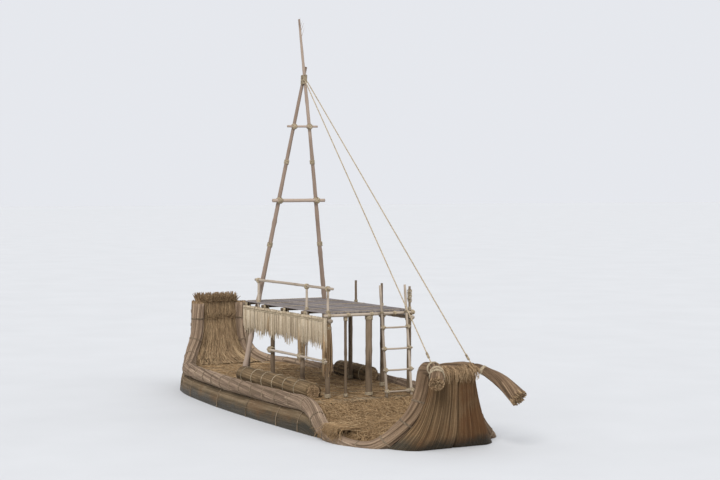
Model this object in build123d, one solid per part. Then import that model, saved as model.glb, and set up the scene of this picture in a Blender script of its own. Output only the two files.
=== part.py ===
from build123d import *
import math
import os
from typing import NamedTuple

# Two-storey totora reed boat. Millimetres, X to the bow, Y to port, Z up.
# The origin is on the centreline at the waterline, halfway along the hull.

# Hull: two swept reed bundles, one each side of the centreline
HULL_LENGTH = 10500
HULL_BEAM = 3240
DRAFT = 380
FREEBOARD = 450
BOW_HEIGHT = 1300
BOW_HEAD_WIDTH = 760
BOW_HEAD_DEPTH = 420
STERN_HEIGHT = 1850
STERN_HEAD_WIDTH = 1060
STERN_HEAD_DEPTH = 420
KEEL_GROOVE_RADIUS = 300
KEEL_EDGE_RADIUS = 70
HEAD_WAIST_SHARE = 0.19
STERN_FLARE = 120
STERN_RISE = 200
BOW_FLARE = 90

# Gunwale rolls and the horns that they end in over the bow
ROLL_DIAMETER = 280
ROLL_SINK = 35
ROLL_SEAT_SHARE = 0.6
HORN_REACH_STARBOARD = 350
HORN_REACH_PORT = 850
HORN_NECK_DIAMETER_STARBOARD = 210
HORN_NECK_DIAMETER_PORT = 130
HORN_END_DIAMETER_STARBOARD = 280
HORN_END_DIAMETER_PORT = 340
HORN_SINK = 25

# Splayed reed tips on the stern head
STERN_TIP_LENGTH = 230
STERN_TIP_DIAMETER = 150
STERN_TIP_FOOT_DIAMETER = 90
STERN_TIP_COUNT = 3

# Lower deck and the straw in the foredeck well
CROSSBEAM_DIAMETER = 80
CROSSBEAM_SINK = 30
CROSSBEAM_AFT_X = -3600
CROSSBEAM_WAIST_X = -2500
LOWER_MAT_THICKNESS = 40
LOWER_DECK_FRONT = 2500
LOWER_DECK_AFT = -3950
DECK_SIDE_GAP = 20
DECK_EDGE_SETBACK = 50
STRAW_TOP = 235
STRAW_FRONT_TOP = 290
STRAW_FRONT = 4600

# Reed bundles that serve as benches
BENCH_DIAMETER = 350
BENCH_FLAT = 40
BENCH_POST_GAP = 12
BENCH_FRONT_STARBOARD = 1980
BENCH_FRONT_PORT = 250
BENCH_AFT = -1080

# Upper deck on posts
UPPER_DECK_FRONT = 2200
UPPER_DECK_AFT = -1420
UPPER_DECK_TOP = 2150
SIDE_BEAM_DIAMETER = 80
SIDE_BEAM_OFFSET = 880
SIDE_BEAM_OVERHANG = 70
JOIST_DIAMETER = 60
JOIST_OVERHANG = 90
JOIST_COUNT = 5
UPPER_MAT_THICKNESS = 28
UPPER_MAT_EDGE = 30
UPPER_MAT_SETBACK = 20
POST_DIAMETER = 90
POST_AFT_X = -1350
POST_WAIST_X = -200
POST_MIDDLE_X = 1100
POST_FRONT_X = 2120
CENTRE_POST_DIAMETER = 130
THIN_POST_DIAMETER = 56
THIN_POST_OFFSET = -500
COPE_DEPTH = 8

# Rails
MID_RAIL_DIAMETER = 50
MID_RAIL_HEIGHT = 1250
TOP_RAIL_DIAMETER = 55
TOP_RAIL_HEIGHT = 2600
TOP_RAIL_AFT = -990
TOP_RAIL_FRONT = 2330
RAIL_POST_DIAMETER = 50
RAIL_POST_AFT_X = -845
RAIL_POST_MIDDLE_X = 1280
PORT_RAIL_POST_AFT_X = 30
PORT_RAIL_POST_MIDDLE_X = 1080

# Reed fringe hung along the starboard side of the upper deck
FRINGE_THICKNESS = 36
FRINGE_DROP = 430
FRINGE_SPIKE = 190
FRINGE_TEETH = 16

# Ladder
STILE_DIAMETER = 52
RUNG_DIAMETER = 36
FIRST_RUNG_RISE = 100
RUNG_SPACING = 400
RUNG_COUNT = 4
RUNG_OVERHANG = 60
LADDER_STARBOARD_STILE = 220
LADDER_PORT_STILE = 760
LADDER_FOOT_X = 2420
LADDER_LENGTH = 2100

# Two-legged mast
MAST_STEP_X = -1300
MAST_STEP_OFFSET = 1030
MAST_CROSSING_X = -550
MAST_CROSSING_HEIGHT = 6640
MAST_FOOT_DIAMETER = 104
MAST_CROSSING_DIAMETER = 64
STARBOARD_LEG_RISE = 260
MAST_TIP_HEIGHT = 7830
MAST_TIP_DIAMETER = 40
MAST_TIP_SLEEVE = 200
LOWER_CROSSBAR_HEIGHT = 4200
LOWER_CROSSBAR_LENGTH = 1160
LOWER_CROSSBAR_DIAMETER = 72
UPPER_CROSSBAR_HEIGHT = 5700
UPPER_CROSSBAR_LENGTH = 640
UPPER_CROSSBAR_DIAMETER = 46
LASHING_WALL = 22
LASHING_HEIGHT = 180
STAY_DIAMETER = 22

# Fit between round pieces that only touch
TOUCH_GAP = 0.3

# Flat chords that stand for the rounds of tied reeds and tapered poles
ROUND_CHORDS = 4
SEAT_CHORDS = 2
ROLL_CHORDS = 10
REED_SIDES = 12
POLE_SIDES = 16

HALF_LENGTH = HULL_LENGTH / 2
HALF_BEAM = HULL_BEAM / 2
ROLL_RADIUS = ROLL_DIAMETER / 2
STARBOARD = -1
PORT = 1


class Station(NamedTuple):
    """Cross-section of one hull bundle, between its outer and inner edge in the XZ plane."""

    outer_x: float
    outer_z: float
    inner_x: float
    inner_z: float
    half_width: float
    keel_radius: float
    bilge_share: float
    shoulder_share: float
    crown_share: float


def main_stations():
    """Sections from the stern head, along the bottom and up to the bow head."""
    half = HALF_LENGTH
    beam = HALF_BEAM
    groove = KEEL_GROOVE_RADIUS
    edge = KEEL_EDGE_RADIUS
    stern_half = STERN_HEAD_WIDTH / 2
    bow_half = BOW_HEAD_WIDTH / 2
    stern_inner = STERN_HEAD_DEPTH - half
    bow_inner = half - BOW_HEAD_DEPTH
    stern_waist = 0.5 * stern_half + HEAD_WAIST_SHARE * beam
    bow_waist = 0.5 * bow_half + HEAD_WAIST_SHARE * beam
    # Columns: outer x, outer z, inner x, inner z, half width, keel radius, then the bilge,
    # shoulder and crown radii as shares of the section's depth
    rows = [
        (-half, STERN_HEIGHT, stern_inner, STERN_HEIGHT, stern_half, edge, 0.35, 0.35, 0.12),
        (-half, 0.55 * STERN_HEIGHT, stern_inner, 0.60 * STERN_HEIGHT, stern_waist, edge, 0.38, 0.35, 0.12),
        (-0.965 * half, 0.35 * DRAFT, stern_inner + STERN_FLARE, FREEBOARD + STERN_RISE, 0.50 * beam, 2 * edge, 0.45, 0.38, 0.12),
        (-0.86 * half, -0.70 * DRAFT, -0.80 * half, 1.04 * FREEBOARD, 0.70 * beam, 0.8 * groove, 0.50, 0.42, 0.12),
        (-0.66 * half, -DRAFT, -0.66 * half, FREEBOARD, 0.86 * beam, groove, 0.52, 0.42, 0.10),
        (-0.30 * half, -DRAFT, -0.30 * half, FREEBOARD, 0.97 * beam, groove, 0.52, 0.42, 0.10),
        (0.02 * half, -DRAFT, 0.02 * half, FREEBOARD, beam, groove, 0.52, 0.42, 0.10),
        (0.30 * half, -DRAFT, 0.30 * half, FREEBOARD, 0.99 * beam, groove, 0.52, 0.42, 0.10),
        (0.47 * half, -DRAFT, 0.47 * half, 0.95 * FREEBOARD, 0.975 * beam, groove, 0.52, 0.42, 0.10),
        (0.60 * half, -0.98 * DRAFT, 0.60 * half, 0.20 * FREEBOARD, 0.95 * beam, 0.7 * groove, 0.48, 0.46, 0.10),
        (0.745 * half, -0.95 * DRAFT, 0.73 * half, -0.18 * FREEBOARD, 0.90 * beam, edge, 0.40, 0.54, 0.10),
        (0.885 * half, -0.75 * DRAFT, 0.845 * half, -0.12 * FREEBOARD, 0.74 * beam, edge, 0.40, 0.54, 0.12),
        (0.985 * half, 0.30 * DRAFT, bow_inner - BOW_FLARE, 0.85 * FREEBOARD, 0.46 * beam, edge, 0.38, 0.38, 0.12),
        (half, 0.55 * BOW_HEIGHT, bow_inner, 0.60 * BOW_HEIGHT, bow_waist, edge, 0.35, 0.35, 0.12),
        (half, BOW_HEIGHT, bow_inner, BOW_HEIGHT, bow_half, edge, 0.35, 0.35, 0.12),
    ]
    return [Station(*row) for row in rows]


def refined(stations):
    """The sections with one more between each two, so that the bundle bends evenly."""
    first = [2 * a - b for a, b in zip(stations[0], stations[1])]
    last = [2 * a - b for a, b in zip(stations[-1], stations[-2])]
    rows = [first] + list(stations) + [last]
    result = []
    for before, here, there, after in zip(rows, rows[1:], rows[2:], rows[3:]):
        middle = [(9 * (b + c) - a - d) / 16 for a, b, c, d in zip(before, here, there, after)]
        result += [Station(*here), Station(*middle)]
    return result + [stations[-1]]


def hull_stations():
    """Every section of a hull bundle."""
    return refined(main_stations())


def station_plane(station, side):
    """Plane of a section: x runs outboard, y runs from the outer edge to the inner one."""
    outboard = Vector(0, side, 0)
    across = Vector(station.inner_x - station.outer_x, 0, station.inner_z - station.outer_z)
    return Plane(
        origin=(station.outer_x, 0, station.outer_z),
        x_dir=outboard,
        z_dir=outboard.cross(across.normalized()),
    )


def station_depth(station):
    """Distance from the outer edge of a section to its inner edge."""
    return math.hypot(station.inner_x - station.outer_x, station.inner_z - station.outer_z)


class Seat(NamedTuple):
    """Where a gunwale roll presses on the rounded shoulder of its bundle, in degrees."""

    shoulder: float
    centre: tuple
    roll_centre: tuple
    low: float
    high: float


def roll_seat(station):
    """Seat of the gunwale roll in a section."""
    depth = station_depth(station)
    shoulder = station.shoulder_share * depth
    reach = shoulder + ROLL_RADIUS - ROLL_SINK
    spread = math.degrees(math.acos(
        (shoulder ** 2 + reach ** 2 - ROLL_RADIUS ** 2) / (2 * shoulder * reach)
    ))
    middle = 45 + ROLL_SEAT_SHARE * (45 - spread)
    centre = (station.half_width - shoulder, depth - shoulder)
    beside = centre[0] + reach * math.cos(math.radians(middle))
    above = centre[1] + reach * math.sin(math.radians(middle))
    return Seat(shoulder, centre, (beside, above), middle - spread, middle + spread)


def arc_points(centre, radius, start, sweep, chords):
    """Corners of the chords of an arc, from its start angle in degrees."""
    angles = [math.radians(start + sweep * index / chords) for index in range(chords + 1)]
    return [(centre[0] + radius * math.cos(a), centre[1] + radius * math.sin(a)) for a in angles]


def seat_points(seat):
    """Corners that a bundle and its gunwale roll share."""
    return arc_points(seat.centre, seat.shoulder, seat.low, seat.high - seat.low, SEAT_CHORDS)


def bundle_section(station, side):
    """Rounded section of one bundle, flat on the centreline where the pair meets."""
    width = station.half_width
    depth = station_depth(station)
    keel = station.keel_radius
    bilge = station.bilge_share * depth
    crown = station.crown_share * depth
    seat = roll_seat(station)
    points = arc_points((keel, keel), keel, 180, 90, SEAT_CHORDS)
    points += arc_points((width - bilge, bilge), bilge, 270, 90, ROUND_CHORDS)
    points += arc_points(seat.centre, seat.shoulder, 0, seat.low, SEAT_CHORDS)[:-1]
    points += seat_points(seat)
    points += arc_points(seat.centre, seat.shoulder, seat.high, 90 - seat.high, SEAT_CHORDS)[1:]
    points += arc_points((crown, depth - crown), crown, 90, 90, SEAT_CHORDS)
    return station_plane(station, side) * make_face(Polyline(points, close=True))


def hull_bundle(side):
    """One hull bundle, bent up into the bow head and the stern head."""
    return loft([bundle_section(station, side) for station in hull_stations()], ruled=True)


def roll_section(station, side):
    """Round section of a gunwale roll, pressed to the shoulder that it lies on."""
    seat = roll_seat(station)
    pressed = seat_points(seat)
    turns = [
        math.degrees(math.atan2(y - seat.roll_centre[1], x - seat.roll_centre[0]))
        for x, y in (pressed[-1], pressed[0])
    ]
    sweep = (turns[1] - turns[0]) % -360
    free = arc_points(seat.roll_centre, ROLL_RADIUS, turns[0], sweep, ROLL_CHORDS)
    return station_plane(station, side) * make_face(Polyline(pressed + free[1:-1], close=True))


def gunwale_roll(side):
    """Roll of reeds along the edge of a bundle."""
    return loft([roll_section(station, side) for station in hull_stations()], ruled=True)


def heart_bundle():
    """Slim bundle in the groove between the pair, flush with the bottom."""
    sections = []
    for station in hull_stations():
        if station.keel_radius > 0.9 * KEEL_GROOVE_RADIUS:
            radius = station.keel_radius / 4
            sections.append(station_plane(station, PORT) * Pos(0, radius) * Circle(radius - TOUCH_GAP))
    return loft(sections, ruled=True)


def tube_along(points, diameters):
    """Loft of many-sided sections square to a path through the points."""
    sections = []
    last = len(points) - 1
    for index, (point, diameter) in enumerate(zip(points, diameters)):
        behind = Vector(*points[max(index - 1, 0)])
        ahead = Vector(*points[min(index + 1, last)])
        plane = Plane(origin=point, x_dir=(0, 1, 0), z_dir=ahead - behind)
        sections.append(plane * RegularPolygon(diameter / 2, REED_SIDES))
    return loft(sections, ruled=True)


def tapered(start, end, diameter, end_diameter, sides):
    """Many-sided piece between two points, with a different thickness at its end."""
    axis = Vector(*end) - Vector(*start)
    near = Plane(origin=start, z_dir=axis)
    far = near.offset(axis.length)
    return loft([
        near * RegularPolygon(diameter / 2, sides), far * RegularPolygon(end_diameter / 2, sides)
    ], ruled=True)


def horn_points(side, reach, neck):
    """Path of a horn: from the end of the gunwale roll, over the bow head and down past the stem."""
    head = main_stations()[-1]
    x, y, z = station_plane(head, side).from_local_coords(roll_seat(head).roll_centre)
    over = BOW_HEIGHT + neck / 2 - HORN_SINK
    return [
        (x, y, z),
        (x + 0.9 * ROLL_RADIUS, y * 1.02, z + 0.8 * (over - z)),
        (HALF_LENGTH - 0.45 * BOW_HEAD_DEPTH, y * 1.08, over + 0.5 * HORN_SINK),
        (HALF_LENGTH, y * 1.22, over),
        (HALF_LENGTH + 0.55 * reach, y * 1.5, over - 0.2 * reach),
        (HALF_LENGTH + reach, y * 1.75, over - 0.5 * reach),
    ]


def bow_horn(side, reach, neck, end):
    """End of a gunwale roll, bent over the bow head and out past the stem."""
    points = horn_points(side, reach, neck)
    diameters = [neck, neck, neck, neck, (neck + end) / 2, end]
    rise = Vector(0, 0, 0.9 * ROLL_RADIUS)
    elbow = tapered(
        points[0], tuple(Vector(*points[0]) + rise), ROLL_DIAMETER, 0.6 * ROLL_DIAMETER, REED_SIDES
    )
    head = Pos(HALF_LENGTH, 0, BOW_HEIGHT) * Box(
        HALF_LENGTH, HULL_BEAM, BOW_HEIGHT, align=(Align.MAX, Align.CENTER, Align.MAX)
    )
    return tube_along(points, diameters) + elbow - head


def stern_tips(side):
    """Row of reed tufts that splay out of the top of the stern head."""
    half = STERN_HEAD_WIDTH / 2
    pitch = (half - STERN_TIP_FOOT_DIAMETER / 2) / STERN_TIP_COUNT
    x = STERN_HEAD_DEPTH / 2 - HALF_LENGTH
    tufts = []
    for index in range(STERN_TIP_COUNT):
        y = side * pitch * (index + 0.5)
        foot = (x, y, STERN_HEIGHT)
        head = (x, y, STERN_HEIGHT + STERN_TIP_LENGTH)
        tufts.append(tapered(foot, head, STERN_TIP_FOOT_DIAMETER, STERN_TIP_DIAMETER, REED_SIDES))
    return Compound(tufts)


def pole(start, end, diameter):
    """Round pole between two points."""
    axis = Vector(*end) - Vector(*start)
    near = Plane(origin=start, z_dir=axis)
    return near * Cylinder(diameter / 2, axis.length, align=(Align.CENTER, Align.CENTER, Align.MIN))


def write(name, shape):
    """Writes one node's file."""
    export_step(shape, "parts/" + name + ".step")


os.makedirs("parts", exist_ok=True)

# Hull
bundle_starboard = hull_bundle(STARBOARD)
bundle_port = hull_bundle(PORT)
write("hull_bundle_starboard", bundle_starboard)
write("hull_bundle_port", bundle_port)

# Slim heart bundle in the groove under the pair
write("heart_bundle", heart_bundle())

roll_starboard = gunwale_roll(STARBOARD)
roll_port = gunwale_roll(PORT)
write("gunwale_roll_starboard", roll_starboard)
write("gunwale_roll_port", roll_port)

horn_starboard = bow_horn(
    STARBOARD, HORN_REACH_STARBOARD, HORN_NECK_DIAMETER_STARBOARD, HORN_END_DIAMETER_STARBOARD
)
horn_port = bow_horn(PORT, HORN_REACH_PORT, HORN_NECK_DIAMETER_PORT, HORN_END_DIAMETER_PORT)
write("bow_horn_starboard", horn_starboard)
write("bow_horn_port", horn_port)
write("stern_tips_starboard", stern_tips(STARBOARD))
write("stern_tips_port", stern_tips(PORT))

# Lower deck: poles across the two bundles, with a reed mat on them
beam_radius = CROSSBEAM_DIAMETER / 2
beam_z = FREEBOARD + beam_radius - CROSSBEAM_SINK
beam_top = beam_z + beam_radius
mat_top = beam_top + LOWER_MAT_THICKNESS
post_rows = [POST_AFT_X, POST_WAIST_X, POST_MIDDLE_X, POST_FRONT_X]
beam_rows = [CROSSBEAM_AFT_X, CROSSBEAM_WAIST_X] + post_rows + [LOWER_DECK_FRONT - DECK_EDGE_SETBACK]
deck_stations = main_stations()[3:-2]


def deck_half_width(x):
    """Half of the room between the gunwale rolls at this x."""
    for behind, ahead in zip(deck_stations, deck_stations[1:]):
        if behind.inner_x <= x <= ahead.inner_x:
            share = (x - behind.inner_x) / (ahead.inner_x - behind.inner_x)
            near = roll_seat(behind).roll_centre[0]
            far = roll_seat(ahead).roll_centre[0]
    return near + share * (far - near) - ROLL_RADIUS - DECK_SIDE_GAP


def deck_outline(aft, front):
    """Plan of a mat that fills the room between the gunwale rolls."""
    between = [row.inner_x for row in deck_stations if aft < row.inner_x < front]
    starboard = [(x, -deck_half_width(x)) for x in [aft] + between + [front]]
    port = [(x, -y) for x, y in reversed(starboard)]
    return make_face(Polyline(starboard + port, close=True))


crossbeams = Compound([
    pole((x, -deck_half_width(x), beam_z), (x, deck_half_width(x), beam_z), CROSSBEAM_DIAMETER)
    for x in beam_rows
]) - bundle_starboard - bundle_port
write("deck_crossbeams", crossbeams)

lower_mat = Pos(0, 0, beam_top) * extrude(deck_outline(LOWER_DECK_AFT, LOWER_DECK_FRONT), LOWER_MAT_THICKNESS)

# Straw that fills the well between the lower deck and the bow head
straw_side = Plane.XZ * make_face(Polyline([
    (LOWER_DECK_FRONT, 0),
    (LOWER_DECK_FRONT, FREEBOARD),
    (0.62 * HALF_LENGTH, STRAW_TOP),
    (STRAW_FRONT, STRAW_FRONT_TOP),
    (STRAW_FRONT, -DRAFT / 2),
    (0.69 * HALF_LENGTH, -DRAFT / 2),
    (0.62 * HALF_LENGTH, 0),
], close=True))
straw_plan = Pos(0, 0, -DRAFT) * extrude(deck_outline(LOWER_DECK_FRONT, 0.845 * HALF_LENGTH), 3 * DRAFT)
straw = extrude(straw_side, HALF_BEAM, both=True) & straw_plan
write("foredeck_straw", straw - bundle_starboard - bundle_port - roll_starboard - roll_port)

# Side beams of the upper deck
joist_radius = JOIST_DIAMETER / 2
side_beam_radius = SIDE_BEAM_DIAMETER / 2
joist_z = UPPER_DECK_TOP - UPPER_MAT_THICKNESS - joist_radius
side_beam_z = joist_z - joist_radius - side_beam_radius + COPE_DEPTH
side_beams = {}
for side, name in ((STARBOARD, "starboard"), (PORT, "port")):
    y = side * SIDE_BEAM_OFFSET
    side_beams[side] = pole(
        (UPPER_DECK_AFT - SIDE_BEAM_OVERHANG, y, side_beam_z),
        (UPPER_DECK_FRONT + SIDE_BEAM_OVERHANG, y, side_beam_z),
        SIDE_BEAM_DIAMETER,
    )
both_side_beams = Compound([side_beams[STARBOARD], side_beams[PORT]])

# Poles across the side beams, with a second one along the front edge
first_joist = UPPER_DECK_AFT + joist_radius
front_pole = UPPER_DECK_FRONT - joist_radius
last_joist = front_pole - JOIST_DIAMETER - TOUCH_GAP
joist_pitch = (last_joist - first_joist) / (JOIST_COUNT - 1)
joist_rows = [first_joist + index * joist_pitch for index in range(JOIST_COUNT)]
joist_reach = SIDE_BEAM_OFFSET + JOIST_OVERHANG


def joist(x):
    """Pole across the boat that rests on both side beams."""
    return pole((x, -joist_reach, joist_z), (x, joist_reach, joist_z), JOIST_DIAMETER) - both_side_beams


joists = Compound([joist(x) for x in joist_rows])
front_edge = joist(front_pole)
write("upper_deck_joists", joists)
write("upper_deck_front_pole", front_edge)

# Posts between the decks
post_top = side_beam_z
posts = {}
for side, name in ((STARBOARD, "starboard"), (PORT, "port")):
    y = side * SIDE_BEAM_OFFSET
    posts[side] = Compound([
        pole((x, y, beam_z), (x, y, post_top), POST_DIAMETER) for x in post_rows
    ]) - crossbeams - side_beams[side]
    write("side_posts_" + name, posts[side])
    write("upper_side_beam_" + name, side_beams[side])
centre_post = pole((POST_FRONT_X, 0, beam_z), (POST_FRONT_X, 0, joist_z), CENTRE_POST_DIAMETER)
centre_post = centre_post - crossbeams - joists - front_edge
thin_post = pole(
    (POST_FRONT_X, THIN_POST_OFFSET, beam_z), (POST_FRONT_X, THIN_POST_OFFSET, joist_z), THIN_POST_DIAMETER
)
thin_post = thin_post - crossbeams - joists - front_edge
write("front_post_centre", centre_post)
write("front_post_thin", thin_post)

# Mast: two legs that cross and are lashed together, the port one running on as a top pole
mast_lean = math.atan2(MAST_CROSSING_X - MAST_STEP_X, MAST_CROSSING_HEIGHT - mat_top)
crossing_gap = (MAST_CROSSING_DIAMETER + 2 * TOUCH_GAP) / math.cos(mast_lean)


def leg_point(side, z):
    """Point on the axis of a mast leg at this height."""
    share = (z - mat_top) / (MAST_CROSSING_HEIGHT - mat_top)
    crossing_x = MAST_CROSSING_X + side * crossing_gap / 2
    return (
        MAST_STEP_X + share * (crossing_x - MAST_STEP_X),
        side * MAST_STEP_OFFSET * (1 - share),
        z,
    )


def leg_radius(z):
    """Radius of a mast leg at this height, up to the crossing."""
    share = (z - mat_top) / (MAST_CROSSING_HEIGHT - mat_top)
    return (MAST_FOOT_DIAMETER + share * (MAST_CROSSING_DIAMETER - MAST_FOOT_DIAMETER)) / 2


leg_foot = mat_top - MAST_FOOT_DIAMETER / 2
deck_surface = Plane.XY.offset(mat_top)
leg_starboard = split(tapered(
    leg_point(STARBOARD, leg_foot),
    leg_point(STARBOARD, MAST_CROSSING_HEIGHT + STARBOARD_LEG_RISE),
    2 * leg_radius(leg_foot),
    2 * leg_radius(MAST_CROSSING_HEIGHT + STARBOARD_LEG_RISE),
    POLE_SIDES,
), bisect_by=deck_surface, keep=Keep.TOP)
sleeve_low = leg_point(PORT, MAST_TIP_HEIGHT - MAST_TIP_SLEEVE)
leg_port = split(tapered(
    leg_point(PORT, leg_foot), leg_point(PORT, MAST_CROSSING_HEIGHT),
    2 * leg_radius(leg_foot), MAST_CROSSING_DIAMETER, POLE_SIDES,
), bisect_by=deck_surface, keep=Keep.TOP)
leg_port = leg_port + tapered(
    leg_point(PORT, MAST_CROSSING_HEIGHT), sleeve_low,
    MAST_CROSSING_DIAMETER, MAST_TIP_DIAMETER, POLE_SIDES,
) + pole(sleeve_low, leg_point(PORT, MAST_TIP_HEIGHT), MAST_TIP_DIAMETER)
both_legs = Compound([leg_starboard, leg_port])
write("mast_leg_starboard", leg_starboard)
write("mast_leg_port", leg_port)


def crossbar(z, length, diameter):
    """Bar lashed to the front of both mast legs."""
    forward = leg_radius(z) + diameter / 2 - COPE_DEPTH
    near = Vector(*leg_point(STARBOARD, z)) + Vector(forward, 0, 0)
    far = Vector(*leg_point(PORT, z)) + Vector(forward, 0, 0)
    along = (far - near).normalized()
    middle = (near + far) * 0.5
    half = along * (length / 2)
    return pole(tuple(middle - half), tuple(middle + half), diameter) - both_legs


write("mast_crossbar_lower", crossbar(LOWER_CROSSBAR_HEIGHT, LOWER_CROSSBAR_LENGTH, LOWER_CROSSBAR_DIAMETER))
write("mast_crossbar_upper", crossbar(UPPER_CROSSBAR_HEIGHT, UPPER_CROSSBAR_LENGTH, UPPER_CROSSBAR_DIAMETER))

crossing = Vector(MAST_CROSSING_X, 0, MAST_CROSSING_HEIGHT)
lean = crossing - Vector(MAST_STEP_X, 0, mat_top)
wrap_width = MAST_CROSSING_DIAMETER + 2 * LASHING_WALL
wrap_plane = Plane(origin=crossing - lean.normalized() * (LASHING_HEIGHT / 2), x_dir=(1, 0, 0), z_dir=lean)
wrap_section = SlotOverall(wrap_width + crossing_gap, wrap_width)
wrap_block = extrude(wrap_plane * wrap_section, LASHING_HEIGHT)
write("masthead_lashing", wrap_block - both_legs)


def forestay(side, horn, reach, neck):
    """Taut stay from the masthead lashing down to the root of a bow horn."""
    top = crossing + lean.normalized() * (LASHING_HEIGHT / 4) + Vector(0, side * LASHING_WALL / 2, 0)
    foot = horn_points(side, reach, neck)[2]
    return pole(tuple(top), foot, STAY_DIAMETER) - wrap_block - horn


write("forestay_starboard", forestay(
    STARBOARD, horn_starboard, HORN_REACH_STARBOARD, HORN_NECK_DIAMETER_STARBOARD
))
write("forestay_port", forestay(PORT, horn_port, HORN_REACH_PORT, HORN_NECK_DIAMETER_PORT))

# Rails of the upper deck
top_rail = pole(
    (TOP_RAIL_AFT, -SIDE_BEAM_OFFSET, TOP_RAIL_HEIGHT),
    (TOP_RAIL_FRONT, -SIDE_BEAM_OFFSET, TOP_RAIL_HEIGHT), TOP_RAIL_DIAMETER,
)
corner_x = front_pole - joist_radius
frame_parts = Compound([joists, front_edge, both_side_beams])
rail_posts = {}
for side, name, rows in (
    (STARBOARD, "starboard", (RAIL_POST_AFT_X, RAIL_POST_MIDDLE_X, corner_x)),
    (PORT, "port", (PORT_RAIL_POST_AFT_X, PORT_RAIL_POST_MIDDLE_X, corner_x)),
):
    y = side * SIDE_BEAM_OFFSET
    rail_posts[side] = Compound([
        pole((x, y, side_beam_z), (x, y, TOP_RAIL_HEIGHT), RAIL_POST_DIAMETER) for x in rows
    ]) - frame_parts - top_rail
    write("rail_posts_" + name, rail_posts[side])
write("top_rail_starboard", top_rail)
mid_rail_y = -SIDE_BEAM_OFFSET - POST_DIAMETER / 2 - MID_RAIL_DIAMETER / 2 - TOUCH_GAP
write("mid_rail_starboard", pole(
    (POST_WAIST_X - POST_DIAMETER, mid_rail_y, MID_RAIL_HEIGHT),
    (POST_FRONT_X + POST_DIAMETER, mid_rail_y, MID_RAIL_HEIGHT), MID_RAIL_DIAMETER,
))

# Mats, notched round the posts and mast legs
write("lower_deck_mat", lower_mat - posts[STARBOARD] - posts[PORT] - centre_post - thin_post)
upper_mat_half = SIDE_BEAM_OFFSET + UPPER_MAT_EDGE
upper_mat = Pos(0, 0, UPPER_DECK_TOP - UPPER_MAT_THICKNESS) * Box(
    UPPER_DECK_FRONT - UPPER_MAT_SETBACK - UPPER_DECK_AFT, 2 * upper_mat_half, UPPER_MAT_THICKNESS,
    align=(Align.MIN, Align.CENTER, Align.MIN),
)
upper_mat = Pos(UPPER_DECK_AFT, 0, 0) * upper_mat
write("upper_deck_mat", upper_mat - both_legs - rail_posts[STARBOARD] - rail_posts[PORT])

# Reed fringe hung outside the starboard side beam
fringe_top = joist_z - joist_radius - TOUCH_GAP
tooth = (UPPER_DECK_FRONT - UPPER_DECK_AFT) / FRINGE_TEETH
hem = [(UPPER_DECK_AFT, fringe_top), (UPPER_DECK_FRONT, fringe_top)]
for index in range(FRINGE_TEETH):
    right = UPPER_DECK_FRONT - index * tooth
    drop = FRINGE_SPIKE * (0.45 + 0.55 * abs(math.sin(2.3 * index + 0.7)))
    hem.append((right, fringe_top - FRINGE_DROP))
    hem.append((right - tooth / 2, fringe_top - FRINGE_DROP - drop))
hem.append((UPPER_DECK_AFT, fringe_top - FRINGE_DROP))
fringe_y = -SIDE_BEAM_OFFSET - side_beam_radius - TOUCH_GAP
fringe_plane = Plane(origin=(0, fringe_y, 0), x_dir=(1, 0, 0), z_dir=(0, -1, 0))
fringe = extrude(fringe_plane * make_face(Polyline(hem, close=True)), FRINGE_THICKNESS)
write("reed_fringe", fringe - posts[STARBOARD])

# Reed bundle benches along the sides
bench_y = SIDE_BEAM_OFFSET + POST_DIAMETER / 2 + BENCH_POST_GAP + BENCH_DIAMETER / 2
bench_z = mat_top + BENCH_DIAMETER / 2 - BENCH_FLAT
for side, name, front in (
    (STARBOARD, "starboard", BENCH_FRONT_STARBOARD), (PORT, "port", BENCH_FRONT_PORT),
):
    bench = pole((BENCH_AFT, side * bench_y, bench_z), (front, side * bench_y, bench_z), BENCH_DIAMETER)
    write("bench_bundle_" + name, bench - lower_mat)

# Ladder that leans on the front pole of the upper deck
foot_to_pole = Vector(front_pole - LADDER_FOOT_X, 0, joist_z - mat_top)
rise_angle = math.atan2(foot_to_pole.Z, foot_to_pole.X)
lean_angle = rise_angle - math.asin((joist_radius + STILE_DIAMETER / 2 + TOUCH_GAP) / foot_to_pole.length)
up_ladder = Vector(math.cos(lean_angle), 0, math.sin(lean_angle))
out_of_ladder = Vector(up_ladder.Z, 0, -up_ladder.X)
stile_rows = (LADDER_STARBOARD_STILE, LADDER_PORT_STILE)
stiles = Compound([
    pole(
        tuple(Vector(LADDER_FOOT_X, y, mat_top) - up_ladder * LOWER_MAT_THICKNESS),
        tuple(Vector(LADDER_FOOT_X, y, mat_top) + up_ladder * LADDER_LENGTH), STILE_DIAMETER,
    )
    for y in stile_rows
])
stiles = split(stiles, bisect_by=deck_surface, keep=Keep.TOP)
write("ladder_stiles", stiles)
rung_offset = out_of_ladder * ((STILE_DIAMETER + RUNG_DIAMETER) / 2 - COPE_DEPTH)
rungs = []
for index in range(RUNG_COUNT):
    climb = up_ladder * (FIRST_RUNG_RISE + index * RUNG_SPACING)
    middle = Vector(LADDER_FOOT_X, 0, mat_top) + climb + rung_offset
    left = middle + Vector(0, LADDER_STARBOARD_STILE - RUNG_OVERHANG, 0)
    right = middle + Vector(0, LADDER_PORT_STILE + RUNG_OVERHANG, 0)
    rungs.append(pole(tuple(left), tuple(right), RUNG_DIAMETER))
write("ladder_rungs", Compound(rungs) - stiles)
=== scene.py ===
"""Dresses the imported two-storey reed boat in Blender: reeds, poles, ropes, straw, light and camera."""

from __future__ import annotations

import logging
import math
import random
from collections.abc import Callable, Sequence
from dataclasses import dataclass, field
from enum import Enum

import bmesh
import bpy
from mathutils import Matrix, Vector, noise

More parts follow.
